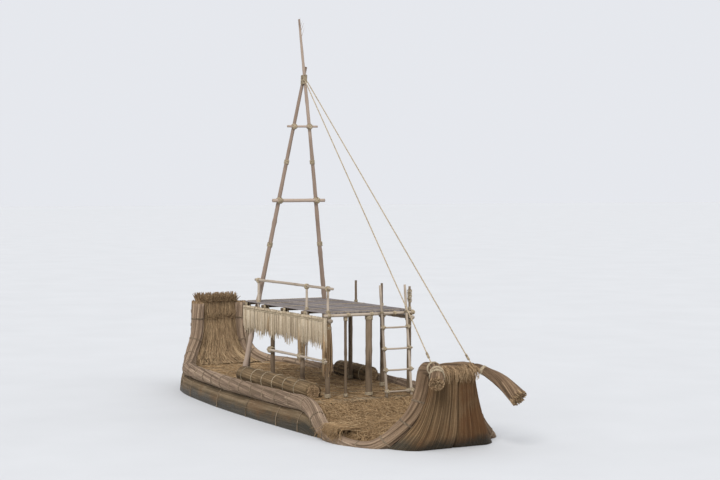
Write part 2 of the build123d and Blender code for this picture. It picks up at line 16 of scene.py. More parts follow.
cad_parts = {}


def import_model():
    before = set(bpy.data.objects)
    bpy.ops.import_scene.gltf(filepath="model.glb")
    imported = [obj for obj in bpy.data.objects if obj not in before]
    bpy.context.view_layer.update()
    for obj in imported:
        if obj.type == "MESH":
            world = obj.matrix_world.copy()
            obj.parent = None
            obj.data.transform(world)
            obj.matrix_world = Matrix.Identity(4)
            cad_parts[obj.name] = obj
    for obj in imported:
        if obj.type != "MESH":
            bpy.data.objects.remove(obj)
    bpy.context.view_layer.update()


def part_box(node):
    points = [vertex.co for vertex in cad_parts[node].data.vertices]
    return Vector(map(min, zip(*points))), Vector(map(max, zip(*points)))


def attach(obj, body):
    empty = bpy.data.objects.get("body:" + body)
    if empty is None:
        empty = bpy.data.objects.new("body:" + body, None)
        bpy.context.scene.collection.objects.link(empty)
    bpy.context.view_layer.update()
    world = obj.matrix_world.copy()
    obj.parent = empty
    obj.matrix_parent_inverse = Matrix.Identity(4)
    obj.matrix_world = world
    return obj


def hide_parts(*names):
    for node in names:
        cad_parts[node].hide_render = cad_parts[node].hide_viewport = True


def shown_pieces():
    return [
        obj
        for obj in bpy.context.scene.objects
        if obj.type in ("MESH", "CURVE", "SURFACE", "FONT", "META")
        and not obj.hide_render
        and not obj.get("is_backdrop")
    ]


LOG = logging.getLogger("reed_boat")

# Sizes of the frame that the dressing follows, in metres
HALF_LENGTH = 5.25
HALF_BEAM = 1.62
DRAFT = 0.38
FREEBOARD = 0.45
BOW_HEIGHT = 1.3
STERN_HEIGHT = 1.85
KEEL_GROOVE = 0.3
ROLL_RADIUS = 0.14
ROLL_SINK = 0.035
ROLL_SEAT_SHARE = 0.6
CROSSBEAM_Z = 0.46
MAT_TOP = 0.54
WELL_END_X = 4.43
POST_ROWS = (-1.35, -0.2, 1.1, 2.12)
POST_MIDDLE_Z = 1.3
SIDE_BEAM_Y = 0.88
SIDE_BEAM_Z = 2.0
JOIST_REACH = 0.97
JOIST_Z = 2.092
FRONT_POST_X = 2.12
FRONT_POST_HEAD_Z = 2.06
FRONT_POLE_X = 2.17
UPPER_MAT_REACH = 0.9
MID_RAIL_Z = 1.25
TOP_RAIL_Z = 2.6
MAST_CROSSING_Z = 6.64
MAST_RAKE_X = 0.75
MAST_RAKE_Z = 6.1

# Sizes of the dressing alone, in metres
HEART_SWELL = 0.008
KNOT_SWELL = 0.16
KNOT_REACH = 0.035
WINDING_LIFT = 0.004
STERN_LASHING_LIFT = 0.006
BED_PROFILE = ((2.45, 0.47), (2.62, 0.42), (3.0, 0.29), (3.4, 0.23), (4.0, 0.24), (4.5, 0.3), (4.75, 0.4))

# Places of a section's outline that ropes follow, counted from the keel outboard
OUTLINE_PLACES = 96
KEEL_TO_DECK = slice(0, 58)
ROUND_THE_HEAD = slice(2, 86)


class Side(Enum):
    """The two sides of the boat, by the sign of Y."""

    STARBOARD = -1
    PORT = 1

    @property
    def label(self) -> str:
        """Name of the side as it ends the node names."""
        return self.name.lower()


class Slot(Enum):
    """Material slots of the record."""

    HULL = "hull_reeds"
    WET = "wet_reeds"
    GUNWALE = "gunwale_reeds"
    CUT = "cut_reeds"
    DECK = "deck_reeds"
    STRAW = "straw"
    BENCH = "bench_reeds"
    WEATHERED = "weathered_poles"
    BLEACHED = "bleached_poles"
    MAT = "grey_mat"
    FRINGE = "fringe_reeds"
    MAST = "mast_poles"
    ROPE = "rope"


Colour = tuple[float, float, float]
Point = tuple[float, float, float]


class Shader:
    """A node tree in the making."""

    def __init__(self, name: str) -> None:
        """Starts a material with a Principled shader.

        Args:
            name: name of the material.
        """
        self.material = bpy.data.materials.new(name)
        self.material.use_nodes = True
        self.nodes = self.material.node_tree.nodes
        self.links = self.material.node_tree.links
        self.shader = self.nodes["Principled BSDF"]

    def add(
        self, kind: str, inputs: dict[str | int, object] | None = None, **settings: object
    ) -> bpy.types.Node:
        """Adds a node.

        Args:
            kind: Blender's name of the node type.
            inputs: values or sockets for its inputs, by name or number.
            settings: properties of the node.

        Returns:
            The node.
        """
        node = self.nodes.new(kind)
        for key, value in settings.items():
            setattr(node, key, value)
        for key, value in (inputs or {}).items():
            if isinstance(value, bpy.types.NodeSocket):
                self.links.new(value, node.inputs[key])
            else:
                node.inputs[key].default_value = value
        return node

    def stretched(self, across: float, along: float) -> bpy.types.NodeSocket:
        """Coordinates that run along the reeds or the grain.

        Args:
            across: scale across the piece.
            along: scale along it.

        Returns:
            The vector socket.
        """
        uv = self.add("ShaderNodeUVMap", uv_map="UVMap").outputs[0]
        return self.add("ShaderNodeMapping", {"Vector": uv, "Scale": (across, along, 1)}).outputs[0]

    def noise(
        self, vector: bpy.types.NodeSocket, scale: float, detail: float = 4, rough: float = 0.6
    ) -> bpy.types.NodeSocket:
        """Noise between 0 and 1.

        Args:
            vector: coordinates.
            scale: size of the noise.
            detail: octaves.
            rough: share that the finer octaves have.

        Returns:
            The value socket.
        """
        inputs = {"Vector": vector, "Scale": scale, "Detail": detail, "Roughness": rough}
        return self.add("ShaderNodeTexNoise", inputs).outputs["Fac"]

    def ramp(
        self, value: bpy.types.NodeSocket, stops: Sequence[tuple[float, Colour]]
    ) -> bpy.types.NodeSocket:
        """Colour ramp.

        Args:
            value: what drives it.
            stops: places and colours.

        Returns:
            The colour socket.
        """
        node = self.add("ShaderNodeValToRGB", {"Fac": value})
        ramp = node.color_ramp
        while len(ramp.elements) < len(stops):
            ramp.elements.new(0.5)
        for element, (place, colour) in zip(ramp.elements, stops):
            element.position = place
            element.color = (*colour, 1)
        return node.outputs["Color"]

    def span(
        self, value: bpy.types.NodeSocket, low: float, high: float, start: float = 0.0, end: float = 1.0
    ) -> bpy.types.NodeSocket:
        """Maps a value from one range to another, clamped.

        Args:
            value: the value socket.
            low: value that gives start.
            high: value that gives end.
            start: first result.
            end: last result.

        Returns:
            The value socket.
        """
        inputs = {"Value": value, "From Min": low, "From Max": high, "To Min": start, "To Max": end}
        return self.add("ShaderNodeMapRange", inputs).outputs["Result"]

    def mix(
        self,
        share: bpy.types.NodeSocket | float,
        first: bpy.types.NodeSocket | Colour,
        second: bpy.types.NodeSocket | Colour,
        blend: str = "MIX",
    ) -> bpy.types.NodeSocket:
        """Mixes two colours.

        Args:
            share: value or socket of the mix.
            first: colour or socket.
            second: colour or socket.
            blend: blend mode.

        Returns:
            The colour socket.
        """
        node = self.add("ShaderNodeMix", data_type="RGBA", blend_type=blend)
        for index, value in ((0, share), (6, first), (7, second)):
            if isinstance(value, bpy.types.NodeSocket):
                self.links.new(value, node.inputs[index])
            elif index:
                node.inputs[index].default_value = (*value, 1)
            else:
                node.inputs[index].default_value = value
        return node.outputs[2]

    def maths(
        self, operation: str, first: bpy.types.NodeSocket | float, second: bpy.types.NodeSocket | float
    ) -> bpy.types.NodeSocket:
        """Arithmetic on two values.

        Args:
            operation: Blender's name of it.
            first: value or socket.
            second: value or socket.

        Returns:
            The value socket.
        """
        return self.add("ShaderNodeMath", {0: first, 1: second}, operation=operation).outputs[0]

    def bump(self, height: bpy.types.NodeSocket, strength: float, distance: float) -> None:
        """Sets the bump of the surface.

        Args:
            height: height socket.
            strength: share of it.
            distance: depth in metres.
        """
        node = self.add("ShaderNodeBump", {"Height": height, "Strength": strength, "Distance": distance})
        self.links.new(node.outputs[0], self.shader.inputs["Normal"])

    def surface(
        self, colour: bpy.types.NodeSocket, roughness: bpy.types.NodeSocket | float
    ) -> bpy.types.Material:
        """Sets colour and roughness.

        Args:
            colour: colour socket.
            roughness: value or socket.

        Returns:
            The finished material.
        """
        self.links.new(colour, self.shader.inputs["Base Color"])
        if isinstance(roughness, bpy.types.NodeSocket):
            self.links.new(roughness, self.shader.inputs["Roughness"])
        else:
            self.shader.inputs["Roughness"].default_value = roughness
        self.shader.inputs["Specular IOR Level"].default_value = 0.25
        return self.material


@dataclass(frozen=True)
class ReedFinish:
    """Reeds that lie side by side, each with its own tone.

    Args:
        name: name of the material.
        dark: colour of the darkest reeds.
        middle: most common colour.
        light: colour of the lightest reeds.
        patch: colour of stains.
        patches: how far the stains cover, from 0 to 1.
        ahead: tint that the reeds take towards the bow, painted shade on the gunwale rolls, horns and bow band
            and a warmer tone on the hull, or None.
        wet: height up to which the reeds are soaked, or None.
        rusty: whether the port half of the bow is rust-coloured.
        fibres: fibres across a reed.
        grooves: reeds across each strand of the mesh, whose grooves are darkened with painted shade, or 0
            where every reed is modelled.
        rough: roughness where dry.
    """

    name: str
    dark: Colour
    middle: Colour
    light: Colour
    patch: Colour
    patches: float = 0.4
    ahead: Colour | None = None
    wet: float | None = None
    rusty: bool = False
    fibres: float = 5.0
    grooves: int = 0
    rough: float = 0.85

    def build(self) -> bpy.types.Material:
        """Makes the material.

        Returns:
            The material.
        """
        make = Shader(self.name)
        tone = make.add("ShaderNodeAttribute", attribute_name="tone").outputs["Fac"]
        fibre = make.noise(make.stretched(self.fibres, 2.2), 1.0, 5, 0.7)
        length = make.noise(make.stretched(1.0, 1.6), 1.0, 3, 0.5)
        place = make.add("ShaderNodeTexCoord").outputs["Object"]
        cloud = make.noise(place, 1.7, 5, 0.65)
        mixed = make.maths("ADD", make.maths("MULTIPLY", tone, 0.55), make.maths("MULTIPLY", fibre, 0.45))
        mixed = make.maths("ADD", mixed, make.span(length, 0.3, 0.7, -0.16, 0.16))
        relief = fibre
        if self.grooves:
            groove, own = self._reeds(make)
            mixed = make.maths("ADD", mixed, make.span(own, 0.0, 1.0, -0.2, 0.2))
            relief = make.maths("ADD", relief, make.maths("MULTIPLY", groove, 1.6))
        colour = make.ramp(mixed, ((0.12, self.dark), (0.5, self.middle), (0.9, self.light)))
        # Painted shade: the grooves between the reeds are darkened in the colour
        if self.grooves:
            painted_groove_shade = make.span(groove, 0.0, 0.75, 0.62, 0.0)
            colour = make.mix(painted_groove_shade, colour, make.mix(1.0, colour, (0.3, 0.26, 0.22), "MULTIPLY"))
        stain = make.span(cloud, 0.62 - 0.3 * self.patches, 0.78, 0.0, 0.8)
        colour = make.mix(stain, colour, self.patch)
        fine = make.noise(place, 38.0, 3, 0.6)
        speckle = make.ramp(fine, ((0.3, (0.55, 0.5, 0.45)), (0.7, (1.25, 1.2, 1.15))))
        colour = make.mix(0.35, colour, speckle, "MULTIPLY")
        roughness = make.span(fibre, 0.2, 0.8, self.rough - 0.1, min(1.0, self.rough + 0.1))
        spot = make.add("ShaderNodeSeparateXYZ", {0: place})
        bow = make.span(spot.outputs[0], 4.1, 4.9)
        # Towards the bow the colour is multiplied by the ahead tint: painted shade on the gunwale rolls, horns
        # and bow band, a warmer tone on the hull
        if self.ahead is not None:
            colour = make.mix(bow, colour, make.mix(1.0, colour, self.ahead, "MULTIPLY"))
        if self.rusty:
            rust = make.maths("MULTIPLY", bow, make.span(spot.outputs[1], 0.0, 0.05))
            rust = make.maths("MULTIPLY", rust, make.span(make.noise(place, 2.6, 4), 0.34, 0.54, 0.2, 1.0))
            colour = make.mix(rust, colour, make.mix(0.6, colour, (0.11, 0.044, 0.013)))
        if self.wet is not None:
            edge = make.maths("ADD", spot.outputs[2], make.span(cloud, 0.3, 0.7, -0.09, 0.09))
            soaked = make.span(edge, self.wet, self.wet - 0.16)
            colour = make.mix(soaked, colour, make.mix(0.82, colour, (0.024, 0.022, 0.014)))
            roughness = make.span(soaked, 0.0, 1.0, self.rough, 0.42)
        make.bump(make.maths("ADD", relief, make.maths("MULTIPLY", fine, 0.35)), 0.8, 0.007)
        return make.surface(colour, roughness)

    def _reeds(self, make: Shader) -> tuple[bpy.types.NodeSocket, bpy.types.NodeSocket]:
        """Round backs of the single reeds, and a number that each has to itself.

        Args:
            make: the node tree.

        Returns:
            The height across each reed and its own number, both from 0 to 1.
        """
        place = make.add("ShaderNodeSeparateXYZ", {0: make.stretched(float(self.grooves), 1.0)}).outputs[0]
        drift = make.span(make.noise(make.stretched(0.6, 1.3), 1.0, 2, 0.5), 0.2, 0.8, -0.5, 0.5)
        place = make.maths("ADD", place, drift)
        back = make.maths("MULTIPLY", make.maths("PINGPONG", place, 0.5), 2.0)
        number = make.add("ShaderNodeMath", {0: place}, operation="FLOOR").outputs[0]
        own = make.add("ShaderNodeTexWhiteNoise", {"W": number}, noise_dimensions="1D").outputs["Value"]
        return make.maths("POWER", back, 0.5), own


@dataclass(frozen=True)
class PoleFinish:
    """Weathered wood with grain, checks and knots.

    Args:
        name: name of the material.
        dark: colour of the grain's dark lines.
        middle: most common colour.
        light: colour of bleached places.
        bark: colour of bark that is left.
        barks: how far bark covers the pole, from 0 to 1.
    """

    name: str
    dark: Colour
    middle: Colour
    light: Colour
    bark: Colour
    barks: float = 0.3

    def build(self) -> bpy.types.Material:
        """Makes the material.

        Returns:
            The material.
        """
        make = Shader(self.name)
        tone = make.add("ShaderNodeAttribute", attribute_name="tone").outputs["Fac"]
        grain = make.noise(make.stretched(26.0, 2.6), 1.0, 6, 0.72)
        crack = make.noise(make.stretched(11.0, 0.7), 1.0, 3, 0.5)
        place = make.add("ShaderNodeTexCoord").outputs["Object"]
        cloud = make.noise(place, 3.1, 5, 0.6)
        mixed = make.maths("ADD", make.maths("MULTIPLY", tone, 0.3), make.maths("MULTIPLY", grain, 0.7))
        colour = make.ramp(mixed, ((0.2, self.dark), (0.48, self.middle), (0.78, self.light)))
        colour = make.mix(make.span(cloud, 0.7 - 0.35 * self.barks, 0.75), colour, self.bark)
        split = make.span(crack, 0.36, 0.30)
        colour = make.mix(split, colour, (0.03, 0.022, 0.016))
        height = make.maths("SUBTRACT", grain, make.maths("MULTIPLY", split, 1.4))
        make.bump(height, 0.8, 0.004)
        return make.surface(colour, make.span(cloud, 0.3, 0.7, 0.62, 0.9))


@dataclass(frozen=True)
class RopeFinish:
    """Twisted grass rope.

    Args:
        name: name of the material.
        dark: colour between the strands.
        light: colour of the strands.
        twists: twists per metre.
    """

    name: str
    dark: Colour
    light: Colour
    twists: float = 34.0

    def build(self) -> bpy.types.Material:
        """Makes the material.

        Returns:
            The material.
        """
        make = Shader(self.name)
        place = make.add("ShaderNodeTexCoord").outputs["Object"]
        tone = make.add("ShaderNodeAttribute", attribute_name="tone").outputs["Fac"]
        twist = make.noise(place, self.twists, 2, 0.4)
        hair = make.noise(place, 120.0, 3, 0.7)
        mixed = make.maths("ADD", make.maths("MULTIPLY", twist, 0.6), make.maths("MULTIPLY", hair, 0.25))
        mixed = make.maths("ADD", mixed, make.maths("MULTIPLY", tone, 0.2))
        colour = make.ramp(mixed, ((0.3, self.dark), (0.62, self.light)))
        make.bump(make.maths("ADD", twist, hair), 0.8, 0.003)
        return make.surface(colour, 0.9)


@dataclass(frozen=True)
class FloorFinish:
    """Plain pale studio floor.

    Args:
        name: name of the material.
        colour: colour of the floor.
    """

    name: str
    colour: Colour

    def build(self) -> bpy.types.Material:
        """Makes the material.

        Returns:
            The material.
        """
        make = Shader(self.name)
        place = make.add("ShaderNodeTexCoord").outputs["Object"]
        low, high = (tuple(share * c for c in self.colour) for share in (0.98, 1.02))
        return make.surface(make.ramp(make.noise(place, 0.4, 2), ((0.3, low), (0.7, high))), 0.8)


FINISHES: dict[Slot, ReedFinish | PoleFinish | RopeFinish] = {
    Slot.HULL: ReedFinish(
        "hull reeds", (0.085, 0.06, 0.033), (0.165, 0.117, 0.066), (0.27, 0.2, 0.122), (0.14, 0.075, 0.034),
        patches=0.45, ahead=(0.98, 0.86, 0.74), wet=0.25, rusty=True, grooves=2,
    ),
    Slot.WET: ReedFinish(
        "wet reeds", (0.02, 0.018, 0.012), (0.045, 0.04, 0.025), (0.08, 0.07, 0.045), (0.02, 0.026, 0.014),
        patches=0.6, wet=0.2, grooves=2,
    ),
    Slot.GUNWALE: ReedFinish(
        "gunwale reeds", (0.15, 0.104, 0.068), (0.32, 0.229, 0.158), (0.48, 0.365, 0.26), (0.2, 0.142, 0.092),
        # ahead darkens the rolls, horns and bow band towards the bow: painted shade
        patches=0.35, ahead=(0.66, 0.6, 0.52), wet=0.05, grooves=2,
    ),
    Slot.CUT: ReedFinish(
        "cut reed ends", (0.1, 0.06, 0.03), (0.3, 0.2, 0.11), (0.5, 0.37, 0.22), (0.16, 0.1, 0.055),
        patches=0.3, fibres=2.0,
    ),
    Slot.DECK: ReedFinish(
        "trodden mat", (0.12, 0.08, 0.044), (0.3, 0.21, 0.118), (0.48, 0.35, 0.206), (0.165, 0.107, 0.06),
        patches=0.4,
    ),
    Slot.STRAW: ReedFinish(
        "straw", (0.15, 0.09, 0.042), (0.34, 0.225, 0.115), (0.55, 0.4, 0.23), (0.2, 0.125, 0.065),
        patches=0.3, fibres=2.0,
    ),
    Slot.BENCH: ReedFinish(
        "bench reeds", (0.075, 0.05, 0.026), (0.2, 0.135, 0.07), (0.34, 0.24, 0.135), (0.1, 0.065, 0.034),
        patches=0.4, grooves=2,
    ),
    Slot.WEATHERED: PoleFinish(
        "weathered poles",
        (0.05, 0.034, 0.02), (0.13, 0.09, 0.055), (0.25, 0.185, 0.125), (0.06, 0.04, 0.024),
        barks=0.5,
    ),
    Slot.BLEACHED: PoleFinish(
        "bleached poles", (0.14, 0.11, 0.08), (0.34, 0.275, 0.21), (0.52, 0.44, 0.35), (0.2, 0.145, 0.1),
        barks=0.25,
    ),
    Slot.MAT: ReedFinish(
        "grey mat", (0.1, 0.088, 0.085), (0.22, 0.195, 0.188), (0.34, 0.31, 0.3), (0.14, 0.117, 0.105),
        patches=0.3,
    ),
    Slot.FRINGE: ReedFinish(
        "fringe reeds", (0.22, 0.17, 0.11), (0.48, 0.39, 0.275), (0.68, 0.6, 0.46), (0.34, 0.25, 0.155),
        patches=0.2,
    ),
    Slot.MAST: PoleFinish(
        "mast poles", (0.13, 0.09, 0.065), (0.3, 0.222, 0.17), (0.45, 0.365, 0.295), (0.17, 0.118, 0.082),
        barks=0.3,
    ),
    Slot.ROPE: RopeFinish("grass rope", (0.12, 0.09, 0.055), (0.42, 0.34, 0.23)),
}
WORN_ROPE = RopeFinish("worn rope", (0.06, 0.043, 0.027), (0.25, 0.185, 0.122))


class Palette:
    """The materials, each made once."""

    def __init__(self) -> None:
        """Builds every finish."""
        self.materials = {slot: finish.build() for slot, finish in FINISHES.items()}
        self.worn_rope = WORN_ROPE.build()

    def place(
        self, thing: bpy.types.Object, slot: Slot, *nodes: str, ends: Slot | None = None, worn: bool = False
    ) -> bpy.types.Object:
        """Gives a piece its material and its place in the frame.

        Args:
            thing: the piece.
            slot: its material slot.
            nodes: the CAD nodes that it stands for.
            ends: slot of its second material, for cut ends.
            worn: whether it is old, dark rope.

        Returns:
            The piece.
        """
        thing.data.materials.clear()
        thing.data.materials.append(self.worn_rope if worn else self.materials[slot])
        if ends is not None:
            thing.data.materials.append(self.materials[ends])
        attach(thing, "root")
        if nodes:
            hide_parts(*nodes)
        return thing


def link(name: str, mesh: bpy.types.Mesh) -> bpy.types.Object:
    """Makes an object of a mesh.

    Args:
        name: name of the object.
        mesh: its mesh.

    Returns:
        The object.
    """
    thing = bpy.data.objects.new(name, mesh)
    bpy.context.scene.collection.objects.link(thing)
    return thing


def between(
    before: Vector | float, here: Vector | float, there: Vector | float, after: Vector | float, share: float
) -> Vector | float:
    """Point or number on the smooth curve through four others, between the middle two.

    Args:
        before: the first of the four.
        here: the second.
        there: the third.
        after: the last.
        share: how far it lies from the second to the third.

    Returns:
        The point or number.
    """
    slope = there - before
    square = 2 * before - 5 * here + 4 * there - after
    cube = 3 * here - before - 3 * there + after
    return 0.5 * (2 * here + slope * share + square * share * share + cube * share**3)


def smooth_line(points: Sequence[Point], pitch: float) -> list[Vector]:
    """Even points on a curve through the given ones.

    Args:
        points: what the curve passes through.
        pitch: length of a step.

    Returns:
        The points.
    """
    knots = [Vector(p) for p in points]
    knots = [2 * knots[0] - knots[1], *knots, 2 * knots[-1] - knots[-2]]
    result = [knots[1]]
    for a, b, c, d in zip(knots, knots[1:], knots[2:], knots[3:]):
        steps = max(1, round((c - b).length / pitch))
        for index in range(1, steps + 1):
            result.append(between(a, b, c, d, index / steps))
    return result


def blend_rows(rows: Sequence[Sequence[float]], steps: int) -> list[list[float]]:
    """Smooth rows between the given ones.

    Args:
        rows: numbers of each row.
        steps: rows made for each given one.

    Returns:
        The rows.
    """
    first = [2 * a - b for a, b in zip(rows[0], rows[1])]
    last = [2 * a - b for a, b in zip(rows[-1], rows[-2])]
    padded = [first, *rows, last]
    result = []
    for before, here, there, after in zip(padded, padded[1:], padded[2:], padded[3:]):
        for index in range(steps):
            result.append([
                between(a, b, c, d, index / steps) for a, b, c, d in zip(before, here, there, after)
            ])
    return [*result, list(rows[-1])]


@dataclass(frozen=True)
class Skin:
    """How the surface of a bundle or pole is worked.

    Args:
        strands: reeds side by side round it.
        columns: faces across each strand.
        flute: depth of the grooves between them.
        wobble: unevenness of the surface.
        twist: turns of the strands about the line, per metre.
        pitch: length of a face along the piece.
        bend: how far a pole strays from its line.
        knots: knots per metre.
    """

    strands: int = 24
    columns: int = 3
    flute: float = 0.01
    wobble: float = 0.004
    twist: float = 0.0
    pitch: float = 0.1
    bend: float = 0.0
    knots: float = 0.0


POLE = Skin(strands=1, columns=14, flute=0.0, wobble=0.003, pitch=0.09, bend=0.008, knots=1.2)
THIN_POLE = Skin(strands=1, columns=10, flute=0.0, wobble=0.002, pitch=0.08, bend=0.006, knots=1.0)
ROLL = Skin(strands=26, columns=3, flute=0.012, wobble=0.011, twist=0.09, pitch=0.085)
BENCH = Skin(strands=30, columns=3, flute=0.013, wobble=0.009, twist=0.05, pitch=0.12)

Ring = list[tuple[Vector, Vector]]


class Weaver:
    """Builds one mesh out of skins of reeds or wood."""

    def __init__(self, seed: int) -> None:
        """Starts the mesh.

        Args:
            seed: start of its random numbers.
        """
        self.mesh = bmesh.new()
        self.uv = self.mesh.loops.layers.uv.new("UVMap")
        self.tone = self.mesh.verts.layers.float.new("tone")
        self.random = random.Random(seed)
        self.seed = seed

    def skin(self, rings: Sequence[Ring], skin: Skin, closed: bool = True, ends: bool = True) -> None:
        """Lays strands over a surface.

        Args:
            rings: rows of places and outward directions, one row for each step along the strands.
            skin: how the surface is worked.
            closed: whether the strands go all the way round.
            ends: whether the open ends are filled, with the second material.
        """
        columns, rows = len(rings[0]) - 1, len(rings) - 1
        made = bmesh.ops.create_grid(self.mesh, x_segments=columns, y_segments=rows, size=1)["verts"]
        tones = [self.random.random() for _ in range(skin.strands * 7 + 1)]
        starts = [self.random.random() for _ in range(skin.strands + 1)]
        metres = [0.0]
        for before, after in zip(rings, rings[1:]):
            metres.append(metres[-1] + (after[columns // 3][0] - before[columns // 3][0]).length)
        places = {}
        for vert in made:
            column = round((vert.co.x + 1) / 2 * columns)
            row = round((vert.co.y + 1) / 2 * rows)
            places[vert] = (column, row)
            point, outward = rings[row][column]
            strand, part = divmod(column % columns, skin.columns) if skin.strands > 1 else (0, 1)
            ridge = math.sin(math.pi * part / skin.columns) ** 0.5 if skin.strands > 1 else 1.0
            run = metres[row]
            rough = noise.noise(Vector((strand * 5.3 + self.seed, run * 2.3, 0.7 * self.seed)))
            if skin.strands == 1:
                rough = noise.noise(Vector(point) * 9 + Vector((self.seed, 0, 0)))
            vert.co = point + outward * (skin.wobble * rough - skin.flute * (1 - ridge))
            vert[self.tone] = tones[(strand + skin.strands * int(run * 0.45 + starts[strand])) % len(tones)]
        for face in {f for v in made for f in v.link_faces}:
            face.smooth = True
            for loop in face.loops:
                column, row = places[loop.vert]
                across = column / skin.columns if skin.strands > 1 else column / columns
                loop[self.uv].uv = (across + 3.7 * self.seed % 11, metres[row])
        if closed:
            lone = [v for v in made if places[v][0] in (0, columns)]
            bmesh.ops.remove_doubles(self.mesh, verts=lone, dist=1e-5)
            if ends:
                rims = [e for e in self.mesh.edges if e.is_boundary and all(v.is_valid for v in e.verts)]
                for face in bmesh.ops.holes_fill(self.mesh, edges=rims, sides=0)["faces"]:
                    face.material_index = 1

    def tube(
        self, points: Sequence[Point], radii: Sequence[float], skin: Skin, ends: bool = True
    ) -> list[Vector]:
        """Lays strands round a line.

        Args:
            points: the line.
            radii: radius at each of its points.
            skin: how the surface is worked.
            ends: whether the ends are filled.

        Returns:
            The middle line of the tube.
        """
        line = smooth_line(points, skin.pitch)
        knots = [Vector(p) for p in points]
        widths = self._widths(line, knots, radii)
        across = None
        rings, run = [], 0.0
        columns = skin.strands * skin.columns
        phase = self.random.random() * 9
        knobs = self._knobs(line, skin)
        for index, centre in enumerate(line):
            ahead = (line[min(index + 1, len(line) - 1)] - line[max(index - 1, 0)]).normalized()
            across = across or ahead.orthogonal().normalized()
            across = (across - ahead * across.dot(ahead)).normalized()
            beside = ahead.cross(across)
            share = index / (len(line) - 1)
            sway = skin.bend * math.sin(math.pi * share)
            bent = share * 2 + phase
            drift = Vector((noise.noise(Vector((bent, 0, 0))), noise.noise(Vector((0, bent, 0)))))
            middle = centre + across * (sway * drift.x) + beside * (sway * drift.y)
            swell = sum(KNOT_SWELL * math.exp(-(((run - knob) / KNOT_REACH) ** 2)) for knob in knobs)
            width = widths[index] * (1 + swell)
            ring = []
            for column in range(columns + 1):
                angle = 2 * math.pi * ((column % columns) / columns + skin.twist * run)
                outward = across * math.cos(angle) + beside * math.sin(angle)
                ring.append((middle + outward * width, outward))
            rings.append(ring)
            if index + 1 < len(line):
                run += (line[index + 1] - centre).length
        self.skin(rings, skin, ends=ends)
        return line

    def _knobs(self, line: Sequence[Vector], skin: Skin) -> list[float]:
        """Places of the knots along a pole.

        Args:
            line: its middle line.
            skin: how its surface is worked.

        Returns:
            Their distances from its start.
        """
        length = sum((b - a).length for a, b in zip(line, line[1:]))
        return [self.random.uniform(0.1, max(0.2, length - 0.1)) for _ in range(int(skin.knots * length))]

    @staticmethod
    def _widths(line: Sequence[Vector], knots: Sequence[Vector], radii: Sequence[float]) -> list[float]:
        """Radius at each point of the smooth line.

        Args:
            line: the smooth line.
            knots: the points that it was made from.
            radii: radius at each of them.

        Returns:
            The radii along the line.
        """
        runs = [0.0]
        for a, b in zip(knots, knots[1:]):
            runs.append(runs[-1] + (b - a).length)
        total = sum((b - a).length for a, b in zip(line, line[1:])) or 1.0
        widths, run = [], 0.0
        for index, point in enumerate(line):
            place = run / total * runs[-1]
            for near, far, first, second in zip(runs, runs[1:], radii, radii[1:]):
                if place <= far + 1e-6:
                    break
            share = min(1.0, max(0.0, (place - near) / max(far - near, 1e-6)))
            widths.append(first + (second - first) * share)
            if index + 1 < len(line):
                run += (line[index + 1] - point).length
        return widths

    def finish(self, name: str) -> bpy.types.Object:
        """Ends the mesh.

        Args:
            name: name of the piece.

        Returns:
            The piece.
        """
        bmesh.ops.recalc_face_normals(self.mesh, faces=self.mesh.faces)
        mesh = bpy.data.meshes.new(name)
        self.mesh.to_mesh(mesh)
        self.mesh.free()
        return link(name, mesh)


class Strands:
    """Many loose reeds, straws or ropes in one piece."""

    def __init__(self, name: str, thickness: float, sides: int = 0) -> None:
        """Starts the piece.

        Args:
            name: its name.
            thickness: radius of a strand.
            sides: bevel resolution, 0 for four sides.
        """
        self.name = name
        self.curve = bpy.data.curves.new(name, "CURVE")
        self.curve.dimensions = "3D"
        self.curve.bevel_depth = thickness
        self.curve.bevel_resolution = sides
        self.curve.use_fill_caps = True

    def add(
        self, points: Sequence[Vector | Point], start: float = 1.0, end: float = 1.0, cyclic: bool = False
    ) -> None:
        """Adds one strand.

        Args:
            points: what it follows.
            start: its thickness at the start, as a share.
            end: its thickness at the end.
            cyclic: whether it closes on itself.
        """
        spline = self.curve.splines.new("POLY")
        spline.points.add(len(points) - 1)
        last = max(1, len(points) - 1)
        for index, (knot, point) in enumerate(zip(spline.points, points)):
            knot.co = (*point, 1)
            knot.radius = start + (end - start) * index / last
        spline.use_cyclic_u = cyclic

    def finish(self, seed: int) -> bpy.types.Object:
        """Turns the strands into a mesh, each with its own tone.

        Args:
            seed: start of the random tones.

        Returns:
            The piece.
        """
        source = link(self.name + "_line", self.curve)
        graph = bpy.context.evaluated_depsgraph_get()
        mesh = bpy.data.meshes.new_from_object(source.evaluated_get(graph))
        bpy.data.objects.remove(source)
        bpy.data.curves.remove(self.curve)
        mesh.name = self.name
        mesh.polygons.foreach_set("use_smooth", [True] * len(mesh.polygons))
        work = bmesh.new()
        work.from_mesh(mesh)
        tone = work.verts.layers.float.new("tone")
        chance = random.Random(seed)
        seen: set[bmesh.types.BMVert] = set()
        for vert in work.verts:
            if vert in seen:
                continue
            value = chance.random()
            stack = [vert]
            while stack:
                here = stack.pop()
                if here in seen:
                    continue
                seen.add(here)
                here[tone] = value
                stack.extend(e.other_vert(here) for e in here.link_edges)
        if not work.loops.layers.uv:
            work.loops.layers.uv.new("UVMap")
        work.to_mesh(mesh)
        work.free()
        mesh.uv_layers[0].name = "UVMap"
        return link(self.name, mesh)


def lashing(ropes: Strands, centre: Vector, axis: Vector, radius: float, turns: int, rope: float) -> None:
    """Coils rope round a pole.

    Args:
        ropes: where the rope goes.
        centre: middle of the coil.
        axis: direction of the pole.
        radius: radius of the pole.
        turns: how many turns.
        rope: radius of the rope.
    """
    axis = axis.normalized()
    across = axis.orthogonal().normalized()
    beside = axis.cross(across)
    corners = 12
    steps = turns * corners
    points = []
    for index in range(steps + 1):
        angle = 2 * math.pi * index / corners
        along = (index / steps - 0.5) * turns * rope * 2.1
        out = across * math.cos(angle) + beside * math.sin(angle)
        points.append(centre + axis * along + out * (radius + rope * 0.8))
    ropes.add(points)


